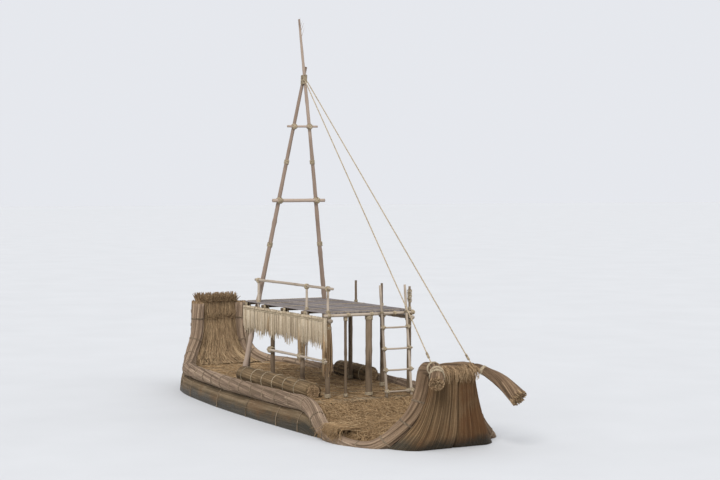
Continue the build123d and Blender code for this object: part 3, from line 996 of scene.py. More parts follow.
def cut_end(
    stubs: Strands, centre: Vector, axis: Vector, radius: float, count: int, chance: random.Random
) -> None:
    """Sets the cut ends of reeds on the end of a bundle.

    Args:
        stubs: where the reeds go.
        centre: middle of the bundle's end.
        axis: direction in which the reeds stand out.
        radius: radius of the bundle.
        count: how many reeds.
        chance: random numbers.
    """
    axis = axis.normalized()
    across = axis.orthogonal().normalized()
    beside = axis.cross(across)
    for _ in range(count):
        angle, share = chance.uniform(0, 2 * math.pi), math.sqrt(chance.random())
        foot = centre + (across * math.cos(angle) + beside * math.sin(angle)) * (radius * share)
        lean = (across * chance.uniform(-1, 1) + beside * chance.uniform(-1, 1)) * 0.004
        stubs.add([foot - axis * 0.02, foot + axis * chance.uniform(0.003, 0.024) + lean])


def cross_lashing(
    ropes: Strands, centre: Vector, first: Vector, second: Vector, reach: tuple[float, float], rope: float
) -> None:
    """Binds two crossing poles with diagonal turns both ways.

    Args:
        ropes: where the rope goes.
        centre: middle of the joint, between the poles.
        first: direction of one pole.
        second: direction of the other.
        reach: half extent of the joint along the diagonals, and square to the two poles.
        rope: radius of the rope.
    """
    corners = 16
    square = first.cross(second).normalized()
    for diagonal in ((first + second).normalized(), (first - second).normalized()):
        beside = square.cross(diagonal)
        for offset in (-1.05, 0.0, 1.05):
            points = []
            for index in range(corners):
                angle = 2 * math.pi * index / corners
                flat, tall = math.cos(angle), math.sin(angle)
                stretch = 1 / max(abs(flat), abs(tall)) ** 0.35
                points.append(
                    centre
                    + diagonal * (flat * stretch * (reach[0] + rope))
                    + square * (tall * stretch * (reach[1] + rope))
                    + beside * (offset * 2 * rope)
                )
            ropes.add(points, cyclic=True)


@dataclass(frozen=True)
class Station:
    """Cross-section of one hull bundle.

    Args:
        outer_x: X of its outer edge.
        outer_z: Z of its outer edge.
        inner_x: X of its inner edge.
        inner_z: Z of its inner edge.
        half_width: width of the bundle.
        keel: radius of the edge at the keel.
        bilge: radius of the bilge, as a share of the depth.
        shoulder: radius of the shoulder, as a share of the depth.
        crown: radius of the inner upper edge, as a share of the depth.
    """

    outer_x: float
    outer_z: float
    inner_x: float
    inner_z: float
    half_width: float
    keel: float
    bilge: float
    shoulder: float
    crown: float

    @property
    def depth(self) -> float:
        """Distance from the outer edge to the inner edge."""
        return math.hypot(self.inner_x - self.outer_x, self.inner_z - self.outer_z)

    def place(self, side: Side, x: float, y: float) -> Vector:
        """Point of the section in the row frame.

        Args:
            side: side of the boat.
            x: distance outboard.
            y: distance from the outer edge to the inner one.

        Returns:
            The point.
        """
        across = Vector((self.inner_x - self.outer_x, 0, self.inner_z - self.outer_z)).normalized()
        return Vector((self.outer_x, side.value * x, self.outer_z)) + across * y

    def outward(self, side: Side, out_x: float, out_y: float) -> Vector:
        """Direction out of the section, in the frame.

        Args:
            side: side of the boat.
            out_x: share of it that points outboard.
            out_y: share of it that points from the outer edge to the inner one.

        Returns:
            The direction.
        """
        across = (self.place(side, 0, 1) - self.place(side, 0, 0)).normalized()
        return Vector((0, side.value * out_x, 0)) + across * out_y

    def roll_centre(self) -> tuple[float, float]:
        """Centre of the gunwale roll in the section.

        Returns:
            Its distances outboard and from the outer edge.
        """
        shoulder = self.shoulder * self.depth
        reach = shoulder + ROLL_RADIUS - ROLL_SINK
        spread = math.degrees(math.acos((shoulder**2 + reach**2 - ROLL_RADIUS**2) / (2 * shoulder * reach)))
        middle = math.radians(45 + ROLL_SEAT_SHARE * (45 - spread))
        return (
            self.half_width - shoulder + reach * math.cos(middle),
            self.depth - shoulder + reach * math.sin(middle),
        )

    def outline(self, count: int) -> list[tuple[float, float, float, float]]:
        """Even places round the section with their outward directions, from the keel outboard.

        Args:
            count: how many places.

        Returns:
            Rows of x, y, outward x and outward y.
        """
        depth, width = self.depth, self.half_width
        bilge, shoulder, crown = (share * depth for share in (self.bilge, self.shoulder, self.crown))
        keel = self.keel
        runs = [
            ("arc", keel, keel, keel, 180, 90),
            ("line", keel, 0, width - bilge, 0),
            ("arc", width - bilge, bilge, bilge, 270, 90),
            ("line", width, bilge, width, depth - shoulder),
            ("arc", width - shoulder, depth - shoulder, shoulder, 0, 90),
            ("line", width - shoulder, depth, crown, depth),
            ("arc", crown, depth - crown, crown, 90, 90),
            ("line", 0, depth - crown, 0, keel),
        ]
        lengths = [
            math.radians(run[5]) * run[3] if run[0] == "arc" else math.hypot(run[3] - run[1], run[4] - run[2])
            for run in runs
        ]
        total = sum(lengths)
        result = []
        for index in range(count):
            left = total * index / count
            for run, length in zip(runs, lengths):
                if left <= length:
                    break
                left -= length
            share = min(1.0, left / max(length, 1e-9))
            if run[0] == "arc":
                angle = math.radians(run[4] + run[5] * share)
                out = (math.cos(angle), math.sin(angle))
                result.append((run[1] + run[3] * out[0], run[2] + run[3] * out[1], *out))
            else:
                dx, dy = run[3] - run[1], run[4] - run[2]
                size = math.hypot(dx, dy) or 1.0
                result.append((run[1] + dx * share, run[2] + dy * share, dy / size, -dx / size))
        return result


def hull_rows() -> list[list[float]]:
    """Sections of a hull bundle from the stern head to the bow head.

    Returns:
        Rows in the order of Station's fields.
    """
    half, beam, groove = HALF_LENGTH, HALF_BEAM, KEEL_GROOVE
    stern, bow = 0.42 - half, half - 0.42
    return [
        [-half, STERN_HEIGHT, stern, STERN_HEIGHT, 0.53, 0.07, 0.35, 0.35, 0.12],
        [-half, 0.55 * STERN_HEIGHT, stern, 0.60 * STERN_HEIGHT, 0.5728, 0.07, 0.38, 0.35, 0.12],
        [-0.965 * half, 0.35 * DRAFT, stern + 0.12, FREEBOARD + 0.2, 0.50 * beam, 0.14, 0.45, 0.38, 0.12],
        [-0.86 * half, -0.70 * DRAFT, -0.80 * half, 1.04 * FREEBOARD, 0.70 * beam, 0.24, 0.50, 0.42, 0.12],
        [-0.66 * half, -DRAFT, -0.66 * half, FREEBOARD, 0.86 * beam, groove, 0.52, 0.42, 0.10],
        [-0.30 * half, -DRAFT, -0.30 * half, FREEBOARD, 0.97 * beam, groove, 0.52, 0.42, 0.10],
        [0.02 * half, -DRAFT, 0.02 * half, FREEBOARD, beam, groove, 0.52, 0.42, 0.10],
        [0.30 * half, -DRAFT, 0.30 * half, FREEBOARD, 0.99 * beam, groove, 0.52, 0.42, 0.10],
        [0.47 * half, -DRAFT, 0.47 * half, 0.95 * FREEBOARD, 0.975 * beam, groove, 0.52, 0.42, 0.10],
        [0.60 * half, -0.98 * DRAFT, 0.60 * half, 0.20 * FREEBOARD, 0.95 * beam, 0.21, 0.48, 0.46, 0.10],
        [0.745 * half, -0.95 * DRAFT, 0.73 * half, -0.18 * FREEBOARD, 0.90 * beam, 0.07, 0.40, 0.54, 0.10],
        [0.885 * half, -0.75 * DRAFT, 0.845 * half, -0.12 * FREEBOARD, 0.74 * beam, 0.07, 0.40, 0.54, 0.12],
        [0.985 * half, 0.30 * DRAFT, bow - 0.09, 0.85 * FREEBOARD, 0.46 * beam, 0.07, 0.38, 0.38, 0.12],
        [half, 0.55 * BOW_HEIGHT, bow, 0.60 * BOW_HEIGHT, 0.4978, 0.07, 0.35, 0.35, 0.12],
        [half, BOW_HEIGHT, bow, BOW_HEIGHT, 0.38, 0.07, 0.35, 0.35, 0.12],
    ]


def roll_beside(x: float) -> tuple[float, float]:
    """Where the gunwale rolls run at a place along the deck.

    Args:
        x: place along the boat.

    Returns:
        Distance of their middle from the centreline, and its height.
    """
    rows = [Station(*row) for row in hull_rows()[3:-1]]
    near, share, far = rows[0], 0.0, rows[0]
    for near, far in zip(rows, rows[1:]):
        share = min(1.0, max(0.0, (x - near.inner_x) / (far.inner_x - near.inner_x)))
        if x <= far.inner_x:
            break
    first, second = (row.place(Side.PORT, *row.roll_centre()) for row in (near, far))
    middle = first.lerp(second, share)
    return middle.y, middle.z


def deck_half_width(x: float) -> float:
    """Half of the room between the gunwale rolls.

    Args:
        x: place along the boat.

    Returns:
        The half width.
    """
    return roll_beside(x)[0] - ROLL_RADIUS - 0.02


def laid_reed(
    span: tuple[float, float], y: float, z: float, rise: float, steps: int, chance: random.Random
) -> list[Vector]:
    """Line of one reed of a mat, a little uneven.

    Args:
        span: X of its two ends.
        y: its place across the boat.
        z: its height.
        rise: how far it may lie above that height.
        steps: steps along it.
        chance: random numbers.

    Returns:
        Its points.
    """
    start, end = span
    return [
        Vector((
            start + (end - start) * step / steps,
            y + chance.uniform(-0.004, 0.004),
            z + chance.uniform(-0.003, rise),
        ))
        for step in range(steps + 1)
    ]


@dataclass
class Hull:
    """The two swept bundles of the hull and the slim one between them.

    Args:
        palette: the materials.
        strands: reeds round a bundle.
        steps: rows of faces for each section.
    """

    palette: Palette
    strands: int = 84
    steps: int = 8

    def build(self) -> None:
        """Makes the hull bundles, their cut ends and their windings."""
        stations = [Station(*row) for row in blend_rows(hull_rows(), self.steps)]
        skin = Skin(strands=self.strands, columns=3, flute=0.011, wobble=0.009)
        for side in Side:
            weaver = Weaver(seed=11 + side.value)
            weaver.skin([self._ring(s, side, skin) for s in stations], skin)
            piece = weaver.finish(f"reed_hull_{side.label}")
            self.palette.place(piece, Slot.HULL, f"hull_bundle_{side.label}", ends=Slot.CUT)
            self._cut_ends(stations, side)
        self._windings(stations)
        self._heart()

    def _ring(self, station: Station, side: Side, skin: Skin) -> Ring:
        """Places round one section, with the seam on the centreline.

        Args:
            station: the section.
            side: side of the boat.
            skin: how the surface is worked.

        Returns:
            Places and outward directions, which fade out where the two bundles meet.
        """
        ring = []
        for x, y, out_x, out_y in station.outline(skin.strands * skin.columns):
            hold = min(1.0, x / 0.03)
            ring.append((station.place(side, x, y), station.outward(side, out_x, out_y) * hold))
        return [*ring, ring[0]]

    def _cut_ends(self, stations: Sequence[Station], side: Side) -> None:
        """Cut reeds that stand out of the tops of the two heads.

        Args:
            stations: the sections from stern to bow.
            side: side of the boat.
        """
        chance = random.Random(31 + side.value)
        for name, station in (("stern", stations[0]), ("bow", stations[-1])):
            stubs = Strands(f"cut_reeds_{name}_{side.label}", 0.012, 1)
            for _ in range(430):
                x = chance.uniform(0.015, station.half_width - 0.02)
                y = chance.uniform(0.015, station.depth - 0.015)
                beside = max(0, x - station.half_width + 0.13)
                if math.hypot(beside, max(0, abs(y - station.depth / 2) - 0.08)) > 0.125:
                    continue
                foot = station.place(side, x, y)
                lean = Vector((chance.uniform(-0.02, 0.02), chance.uniform(-0.02, 0.02), 0))
                height = chance.uniform(0.008, 0.05)
                stubs.add([foot - Vector((0, 0, 0.02)), foot + Vector((0, 0, height)) + lean * height * 8])
            self.palette.place(stubs.finish(5), Slot.CUT)

    def _windings(self, stations: Sequence[Station]) -> None:
        """Ropes that bind each bundle with its roll, from deck edge to keel.

        Args:
            stations: the sections from stern to bow.
        """
        ropes = Strands("hull_windings", 0.008, 1)
        for side in Side:
            for index in range(6, len(stations) - 18, 7):
                station = stations[index]
                ropes.add([
                    station.place(side, x, y) + station.outward(side, out_x, out_y) * WINDING_LIFT
                    for x, y, out_x, out_y in station.outline(OUTLINE_PLACES)[KEEL_TO_DECK]
                ])
        self.palette.place(ropes.finish(8), Slot.ROPE, worn=True)

    def _heart(self) -> None:
        """The slim bundle, swollen a little so that it fills the groove between the other two."""
        weaver = Weaver(seed=3)
        low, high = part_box("heart_bundle")
        middle = (low + high) / 2
        radius = (high.y - low.y) / 2 + HEART_SWELL
        line = [(x, 0, middle.z) for x in (low.x, middle.x, high.x)]
        weaver.tube(line, [radius] * 3, Skin(strands=18, pitch=0.3))
        self.palette.place(weaver.finish("reed_heart"), Slot.WET, "heart_bundle", ends=Slot.WET)


@dataclass
class Gunwales:
    """Rolls along the edges, the horns that they end in, and the tufts on the stern.

    Args:
        palette: the materials.
    """

    palette: Palette

    def build(self) -> None:
        """Makes the rolls, horns and tufts."""
        stations = [Station(*row) for row in blend_rows(hull_rows(), 3)]
        for side in Side:
            line = [tuple(s.place(side, *s.roll_centre())) for s in stations]
            self._roll(side, line)
        self._horn(Side.STARBOARD, reach=0.35, neck=0.105, end=0.14)
        self._horn(Side.PORT, reach=0.85, neck=0.07, end=0.17)
        self._bow_band()
        self._tufts()

    def _bow_band(self) -> None:
        """Reeds bent over the bow head from one horn to the other."""
        head = Station(*hull_rows()[-1])
        reach = head.roll_centre()[0] * 1.1
        x, z = HALF_LENGTH - 0.17, BOW_HEIGHT + 0.055
        points = [
            (x - 0.04, -reach, z),
            (x, -0.4 * reach, z + 0.025),
            (x, 0.4 * reach, z + 0.02),
            (x - 0.04, reach, z),
        ]
        weaver = Weaver(seed=45)
        skin = Skin(strands=20, flute=0.008, wobble=0.012, twist=0.25, pitch=0.04)
        weaver.tube(points, [0.085, 0.1, 0.1, 0.085], skin)
        self.palette.place(weaver.finish("reed_bow_band"), Slot.GUNWALE, ends=Slot.CUT)
        chance = random.Random(46)
        loose = Strands("bow_loose_reeds", 0.0065, 0)
        for _ in range(230):
            y = chance.uniform(-0.92, 0.92) * reach
            foot = Vector((x + chance.uniform(0.02, 0.08), y, z + chance.uniform(0.03, 0.09)))
            knee = Vector((
                HALF_LENGTH + chance.uniform(0.01, 0.045),
                y + chance.gauss(0, 0.02),
                z - chance.uniform(0.0, 0.05),
            ))
            drop = knee + Vector((
                chance.uniform(-0.02, 0.02),
                chance.gauss(0, 0.03),
                -chance.uniform(0.03, 0.2),
            ))
            loose.add(smooth_line([foot, knee, drop], 0.035), 1.0, 0.5)
        self.palette.place(loose.finish(28), Slot.CUT)

    def _roll(self, side: Side, line: Sequence[Point]) -> None:
        """One gunwale roll with the ropes round it.

        Args:
            side: side of the boat.
            line: its middle line.
        """
        weaver = Weaver(seed=21 + side.value)
        path = weaver.tube(line, [ROLL_RADIUS] * len(line), ROLL)
        piece = weaver.finish(f"reed_gunwale_{side.label}")
        self.palette.place(piece, Slot.GUNWALE, f"gunwale_roll_{side.label}", ends=Slot.CUT)
        ropes = Strands(f"gunwale_ropes_{side.label}", 0.008, 1)
        for index in range(4, len(path) - 2, 6):
            axis = path[index + 1] - path[index - 1]
            lean = axis + Vector((0, 0, 0.25 * axis.length))
            lashing(ropes, path[index], lean, ROLL_RADIUS - 0.002, 2, 0.008)
        self.palette.place(ropes.finish(4), Slot.ROPE, worn=True)
        stubs = Strands(f"gunwale_end_{side.label}", 0.0095, 1)
        cut_end(stubs, path[0], path[0] - path[1], 0.9 * ROLL_RADIUS, 260, random.Random(25))
        self.palette.place(stubs.finish(31), Slot.CUT)

    def _horn(self, side: Side, reach: float, neck: float, end: float) -> None:
        """One horn with its splayed, cut end.

        Args:
            side: side of the boat.
            reach: how far it reaches ahead of the bow head.
            neck: its radius over the head.
            end: its radius at the end.
        """
        head = Station(*hull_rows()[-1])
        x, y, z = head.place(side, *head.roll_centre())
        over = BOW_HEIGHT + neck - 0.025
        points = [
            (x, y, z - 0.02),
            (x + 0.03, y * 1.01, z + 0.5 * (over - z)),
            (x + 0.126, y * 1.02, z + 0.86 * (over - z)),
            (HALF_LENGTH - 0.189, y * 1.08, over + 0.012),
            (HALF_LENGTH, y * 1.22, over),
            (HALF_LENGTH + 0.55 * reach, y * 1.5, over - 0.2 * reach),
            (HALF_LENGTH + 0.94 * reach, y * 1.75, over - 0.47 * reach),
        ]
        radii = [ROLL_RADIUS, 0.96 * ROLL_RADIUS, 1.12 * neck, neck, neck, 0.5 * (neck + end), 0.86 * end]
        weaver = Weaver(seed=41 + side.value)
        skin = Skin(strands=24, columns=3, flute=0.009, wobble=0.01, twist=0.2, pitch=0.04)
        path = weaver.tube(points, radii, skin)
        piece = weaver.finish(f"reed_horn_{side.label}")
        self.palette.place(piece, Slot.GUNWALE, f"bow_horn_{side.label}", ends=Slot.CUT)
        ropes = Strands(f"horn_ropes_{side.label}", 0.009, 1)
        for share in (0.42, 0.7, 0.82):
            index = int(share * (len(path) - 1))
            axis = path[index + 1] - path[index - 1]
            lashing(ropes, path[index], axis, neck * (1.02 if share < 0.75 else 1.15), 4, 0.008)
        self.palette.place(ropes.finish(6), Slot.ROPE)
        self._brush(side, path, end)

    def _brush(self, side: Side, path: Sequence[Vector], end: float) -> None:
        """Cut reeds that splay out of the end of a horn.

        Args:
            side: side of the boat.
            path: the horn's middle line.
            end: its radius at the end.
        """
        ahead = (path[-1] - path[-3]).normalized()
        across = ahead.orthogonal().normalized()
        beside = ahead.cross(across)
        chance = random.Random(51 + side.value)
        brush = Strands(f"horn_end_{side.label}", 0.009, 1)
        for _ in range(260):
            angle, radius = chance.uniform(0, 2 * math.pi), math.sqrt(chance.random())
            out = across * math.cos(angle) + beside * math.sin(angle)
            foot = path[-1] + out * (0.8 * end * radius) - ahead * 0.05
            tip = foot + ahead * (0.05 + chance.uniform(0.015, 0.06)) + out * (0.018 * radius)
            brush.add([foot, tip], 1.0, chance.uniform(0.6, 1.1))
        self.palette.place(brush.finish(7), Slot.CUT)

    def _tufts(self) -> None:
        """Splayed tufts and lashings on the stern head."""
        for side in Side:
            chance = random.Random(61 + side.value)
            tufts = Strands(f"reed_tufts_{side.label}", 0.010, 0)
            low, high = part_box(f"stern_tips_{side.label}")
            pitch = (Station(*hull_rows()[0]).half_width - 0.045) / 3
            for index in range(3):
                foot_y = side.value * pitch * (index + 0.5)
                for _ in range(85):
                    angle, radius = chance.uniform(0, 2 * math.pi), math.sqrt(chance.random())
                    out = Vector((math.cos(angle), math.sin(angle), 0)) * radius
                    foot = Vector((0.21 - HALF_LENGTH, foot_y, STERN_HEIGHT - 0.03)) + out * 0.05
                    height = chance.uniform(0.6, 1.0) * (high.z - low.z)
                    knee = foot + Vector((0, 0, 0.5 * height)) + out * 0.02
                    tip = foot + Vector((0, 0, height + 0.03)) + out * chance.uniform(0.04, 0.1)
                    tufts.add([foot, knee, tip], 1.0, 0.45)
            self.palette.place(tufts.finish(9), Slot.CUT, f"stern_tips_{side.label}")
        ropes = Strands("stern_lashings", 0.012, 1)
        rows = [Station(*row) for row in blend_rows(hull_rows(), 8)]
        for index in (2, 5, 9):
            for offset in (-0.024, 0.0, 0.024):
                ropes.add(self._round_stern(rows[index], offset), cyclic=True)
        self.palette.place(ropes.finish(10), Slot.ROPE, worn=True)
        self._upright(rows)

    @staticmethod
    def _round_stern(station: Station, offset: float) -> list[Vector]:
        """Line of a rope round both bundles.

        Args:
            station: the section that it goes round.
            offset: how far over that section it lies.

        Returns:
            Its points.
        """
        points = []
        for side in (Side.PORT, Side.STARBOARD):
            half = [
                station.place(side, x, y)
                + station.outward(side, out_x, out_y) * STERN_LASHING_LIFT
                + Vector((0, 0, offset))
                for x, y, out_x, out_y in station.outline(OUTLINE_PLACES)[ROUND_THE_HEAD]
            ]
            points += half if side is Side.PORT else half[::-1]
        return points

    def _upright(self, rows: Sequence[Station]) -> None:
        """Wavy reeds that stand against the inner face of the stern head.

        Args:
            rows: the sections from stern to bow.
        """
        chance = random.Random(67)
        kinds = {
            Slot.DECK: Strands("stern_upright_reeds", 0.009, 0),
            Slot.CUT: Strands("stern_brown_reeds", 0.008, 0),
        }
        for _ in range(900):
            side = chance.choice((Side.STARBOARD, Side.PORT))
            slot = Slot.CUT if chance.random() < 0.35 else Slot.DECK
            share = chance.uniform(0.0, 0.93)
            sway, depth = chance.uniform(-0.05, 0.05), chance.uniform(0.004, 0.06)
            points = []
            for index in range(chance.choice((10, 14, 18, 22)), chance.choice((-1, -1, -1, 3)), -2):
                station = rows[index]
                x = share * (station.half_width - 0.1) + sway * math.sin(0.9 * index + 40 * share)
                x += 0.03 * noise.noise(Vector((9 * share, 0.6 * index, 4.0)))
                place = station.place(side, min(max(0.005, x), station.half_width - 0.06), station.depth)
                bulge = 0.03 * abs(noise.noise(Vector((14 * share, 0.8 * index, 9.0))))
                points.append(place + Vector((depth + bulge, 0, 0.4 * depth)))
            tip = points[-1] + Vector((chance.uniform(-0.02, 0.12), 2.0 * sway, chance.uniform(0.02, 0.18)))
            kinds[slot].add([*points, tip], 1.0, 0.5)
        for slot, reeds in kinds.items():
            self.palette.place(reeds.finish(27), slot)


@dataclass
class LowerDeck:
    """Poles, mat and benches between the gunwales, and the straw ahead of them.

    Args:
        palette: the materials.
        rows: places of the crossbeams along the boat.
        seams: places of the mat's stitching.
        mat_reach: how far the mat's reeds may lie from the centreline.
        mat_pitch: distance from one of them to the next.
        mat_z: height of their middle.
        stitch: length of a stitch.
        bench_y: distance of the benches from the centreline.
        bench_rear: where both benches begin.
        bench_radius: radius of a bench halfway along.
        bench_lift: height of its middle line over the mat.
    """

    palette: Palette
    rows: tuple[float, ...] = (-3.6, -2.5, *POST_ROWS, 2.45)
    seams: tuple[float, ...] = (-3.75, -3.2, -2.6, -2.0, -1.55, -0.8, 0.0, 0.6, 1.4, 2.0, 2.35)
    mat_reach: float = 1.4
    mat_pitch: float = 0.0265
    mat_z: float = 0.5245
    stitch: float = 0.036
    bench_y: float = 1.112
    bench_rear: float = -1.08
    bench_radius: float = 0.174
    bench_lift: float = 0.135

    def build(self) -> None:
        """Makes the lower deck."""
        weaver = Weaver(seed=71)
        for x in self.rows:
            half = deck_half_width(x)
            weaver.tube([(x, y, CROSSBEAM_Z) for y in (-half, 0, half)], [0.04, 0.041, 0.038], POLE)
        piece = weaver.finish("crossbeam_poles")
        self.palette.place(piece, Slot.WEATHERED, "deck_crossbeams", ends=Slot.BLEACHED)
        self._mat()
        self._bench(Side.STARBOARD, 1.98)
        self._bench(Side.PORT, 0.25)
        self._straw()

    def _mat(self) -> None:
        """Reeds laid side by side along the boat, stitched over the poles."""
        chance = random.Random(73)
        mat = Strands("reed_deck_mat", 0.0145, 1)
        y = -self.mat_reach
        while y < self.mat_reach:
            inside = [x / 20 for x in range(-79, 51) if deck_half_width(x / 20) > abs(y) + 0.02]
            if len(inside) > 6:
                span = (inside[0] + chance.uniform(-0.02, 0.05), inside[-1] - chance.uniform(0, 0.05))
                reed = laid_reed(span, y, self.mat_z, 0.003, 9, chance)
                mat.add(reed, chance.uniform(0.85, 1.05), chance.uniform(0.85, 1.05))
            y += self.mat_pitch
        self.palette.place(mat.finish(12), Slot.DECK, "lower_deck_mat")
        ropes = Strands("deck_stitching", 0.006, 0)
        for x in self.seams:
            half = deck_half_width(x) - 0.03
            ropes.add([
                (x + 0.01 * math.sin(9 * turn), -half + turn * self.stitch, MAT_TOP + 0.003 * (turn % 2))
                for turn in range(int(2 * half / self.stitch))
            ])
        self.palette.place(ropes.finish(13), Slot.ROPE)

    def _bench(self, side: Side, front: float) -> None:
        """One bench bundle, flat where it lies on the mat, with ropes round it.

        Args:
            side: side of the boat.
            front: where it ends ahead.
        """
        y, z = side.value * self.bench_y, MAT_TOP + self.bench_lift
        weaver = Weaver(seed=81 + side.value)
        points = [(self.bench_rear, y, z), (0.5 * (front + self.bench_rear), y, z), (front, y, z)]
        path = weaver.tube(points, [0.168, self.bench_radius, 0.168], BENCH)
        piece = weaver.finish(f"reed_bench_{side.label}")
        work = bmesh.new()
        work.from_mesh(piece.data)
        for vert in work.verts:
            vert.co.z = max(vert.co.z, MAT_TOP + 0.002)
        work.to_mesh(piece.data)
        work.free()
        self.palette.place(piece, Slot.BENCH, f"bench_bundle_{side.label}", ends=Slot.CUT)
        stubs = Strands(f"bench_ends_{side.label}", 0.0095, 1)
        chance = random.Random(85)
        for end, way in ((path[0], -1), (path[-1], 1)):
            cut_end(stubs, end, Vector((way, 0, 0)), 0.132, 300, chance)
        self.palette.place(stubs.finish(32), Slot.CUT)
        ropes = Strands(f"bench_ropes_{side.label}", 0.008, 1)
        corners, radius = 24, 0.173
        for index in range(2, len(path) - 1, 4):
            points = []
            for step in range(corners):
                angle = 2 * math.pi * step / corners
                height = max(z + radius * math.sin(angle), MAT_TOP + 0.008)
                points.append((path[index].x, y + radius * math.cos(angle), height))
            ropes.add(points, cyclic=True)
        self.palette.place(ropes.finish(14), Slot.ROPE)

    def _straw(self) -> None:
        """Straw in the foredeck well, over the starboard side and about the deck."""
        self._straw_bed()
        chance = random.Random(91)
        straws = Strands("loose_straw", 0.0042, 0)
        self._strew(straws, chance)
        self._clump(straws, chance)
        self.palette.place(straws.finish(15), Slot.STRAW)
        self._litter(chance)

    def _straw_bed(self) -> None:
        """The uneven bed that fills the foredeck well."""
        steps, half_columns = 40, 30
        weaver = Weaver(seed=92)
        rings = []
        for row in range(steps + 1):
            x = 2.5 + 1.99 * row / steps
            half = max(0.15, deck_half_width(min(x, WELL_END_X)) + 0.13)
            ring = []
            for column in range(2 * half_columns + 1):
                y = (column / half_columns - 1) * half
                ring.append((Vector((x, y, self._bed(x, y))), Vector((0, 0, 1))))
            rings.append(ring)
        weaver.skin(rings, Skin(strands=20, columns=3, flute=0.01, wobble=0.03), closed=False)
        self.palette.place(weaver.finish("straw_bed"), Slot.STRAW, "foredeck_straw")

    def _strew(self, straws: Strands, chance: random.Random) -> None:
        """Loose straw on the bed.

        Args:
            straws: where it goes.
            chance: random numbers.
        """
        for _ in range(5600):
            x = chance.uniform(2.45, 4.62)
            half = max(0.2, deck_half_width(min(x, WELL_END_X)) + 0.06)
            y = chance.uniform(-half, half)
            z = self._bed(x, y) + chance.uniform(0.0, 0.045)
            heading = chance.gauss(0.0, 0.9)
            length = chance.uniform(0.12, 0.42)
            way = Vector((math.cos(heading), math.sin(heading), 0)) * length * 0.5
            lift = Vector((0, 0, chance.uniform(0.0, 0.05)))
            middle = Vector((x, y, z))
            near, far = middle - way, middle + way
            for end in (near, far):
                end.z = self._bed(end.x, end.y) + chance.uniform(0.0, 0.05)
            if all(abs(end.y) < self._straw_room(end.x) for end in (near, middle, far)):
                straws.add([near, middle + lift, far])

    @staticmethod
    def _clump(straws: Strands, chance: random.Random) -> None:
        """The clump that hangs over the starboard roll.

        Args:
            straws: where it goes.
            chance: random numbers.
        """
        for _ in range(560):
            x = chance.gauss(3.46, 0.15)
            side_y = -deck_half_width(x) - 0.14
            slant = chance.gauss(0.0, 0.1)
            top = Vector((x - slant, side_y + chance.uniform(0.08, 0.4), 0.2 + chance.uniform(0.02, 0.1)))
            crest = Vector((x, side_y - chance.uniform(0.02, 0.1), 0.27 + chance.uniform(-0.04, 0.02)))
            drop = Vector((x + 1.2 * slant, side_y - chance.uniform(0.12, 0.2), chance.uniform(0.02, 0.21)))
            straws.add([top, crest, drop], 1.0, 0.5)

    def _litter(self, chance: random.Random) -> None:
        """Stray straws on the mat.

        Args:
            chance: random numbers.
        """
        litter = Strands("deck_litter", 0.0045, 0)
        for _ in range(2600):
            x = chance.uniform(-3.85, 2.45)
            y = chance.uniform(-1, 1) * (deck_half_width(x) - 0.05)
            heading = chance.gauss(0.0, 0.7)
            way = Vector((math.cos(heading), math.sin(heading), 0)) * chance.uniform(0.05, 0.2)
            middle = Vector((x, y, MAT_TOP + chance.uniform(0.002, 0.016)))
            if deck_half_width(x + way.x) < abs(y) + 0.06 or x + abs(way.x) > 2.48:
                continue
            litter.add([middle - way, middle + Vector((0, 0, chance.uniform(0, 0.012))), middle + way])
        self.palette.place(litter.finish(29), Slot.STRAW)

    @staticmethod
    def _straw_room(x: float) -> float:
        """Half of the width that loose straw may cover, which closes up towards the bow head.

        Args:
            x: place along the boat.

        Returns:
            The half width.
        """
        return deck_half_width(min(x, WELL_END_X)) + 0.14 - 1.5 * max(0.0, x - WELL_END_X)

    @staticmethod
    def _bed(x: float, y: float) -> float:
        """Height of the straw bed.

        Args:
            x: place along the boat.
            y: place across it.

        Returns:
            The height.
        """
        z = BED_PROFILE[-1][1]
        for (near, low), (far, high) in zip(BED_PROFILE, BED_PROFILE[1:]):
            if x <= far:
                z = low + (high - low) * max(0.0, (x - near) / (far - near))
                break
        beside, height = roll_beside(min(x, WELL_END_X))
        rim = min(1.0, max(0.0, abs(y) - beside + 0.4) / 0.34)
        z -= max(0.0, z - height - 0.02) * rim**1.6
        hollows = 0.035 * noise.noise(Vector((2.2 * x, 2.2 * y, 3.1)))
        return z + hollows + 0.015 * noise.noise(Vector((7 * x, 7 * y, 1.4)))


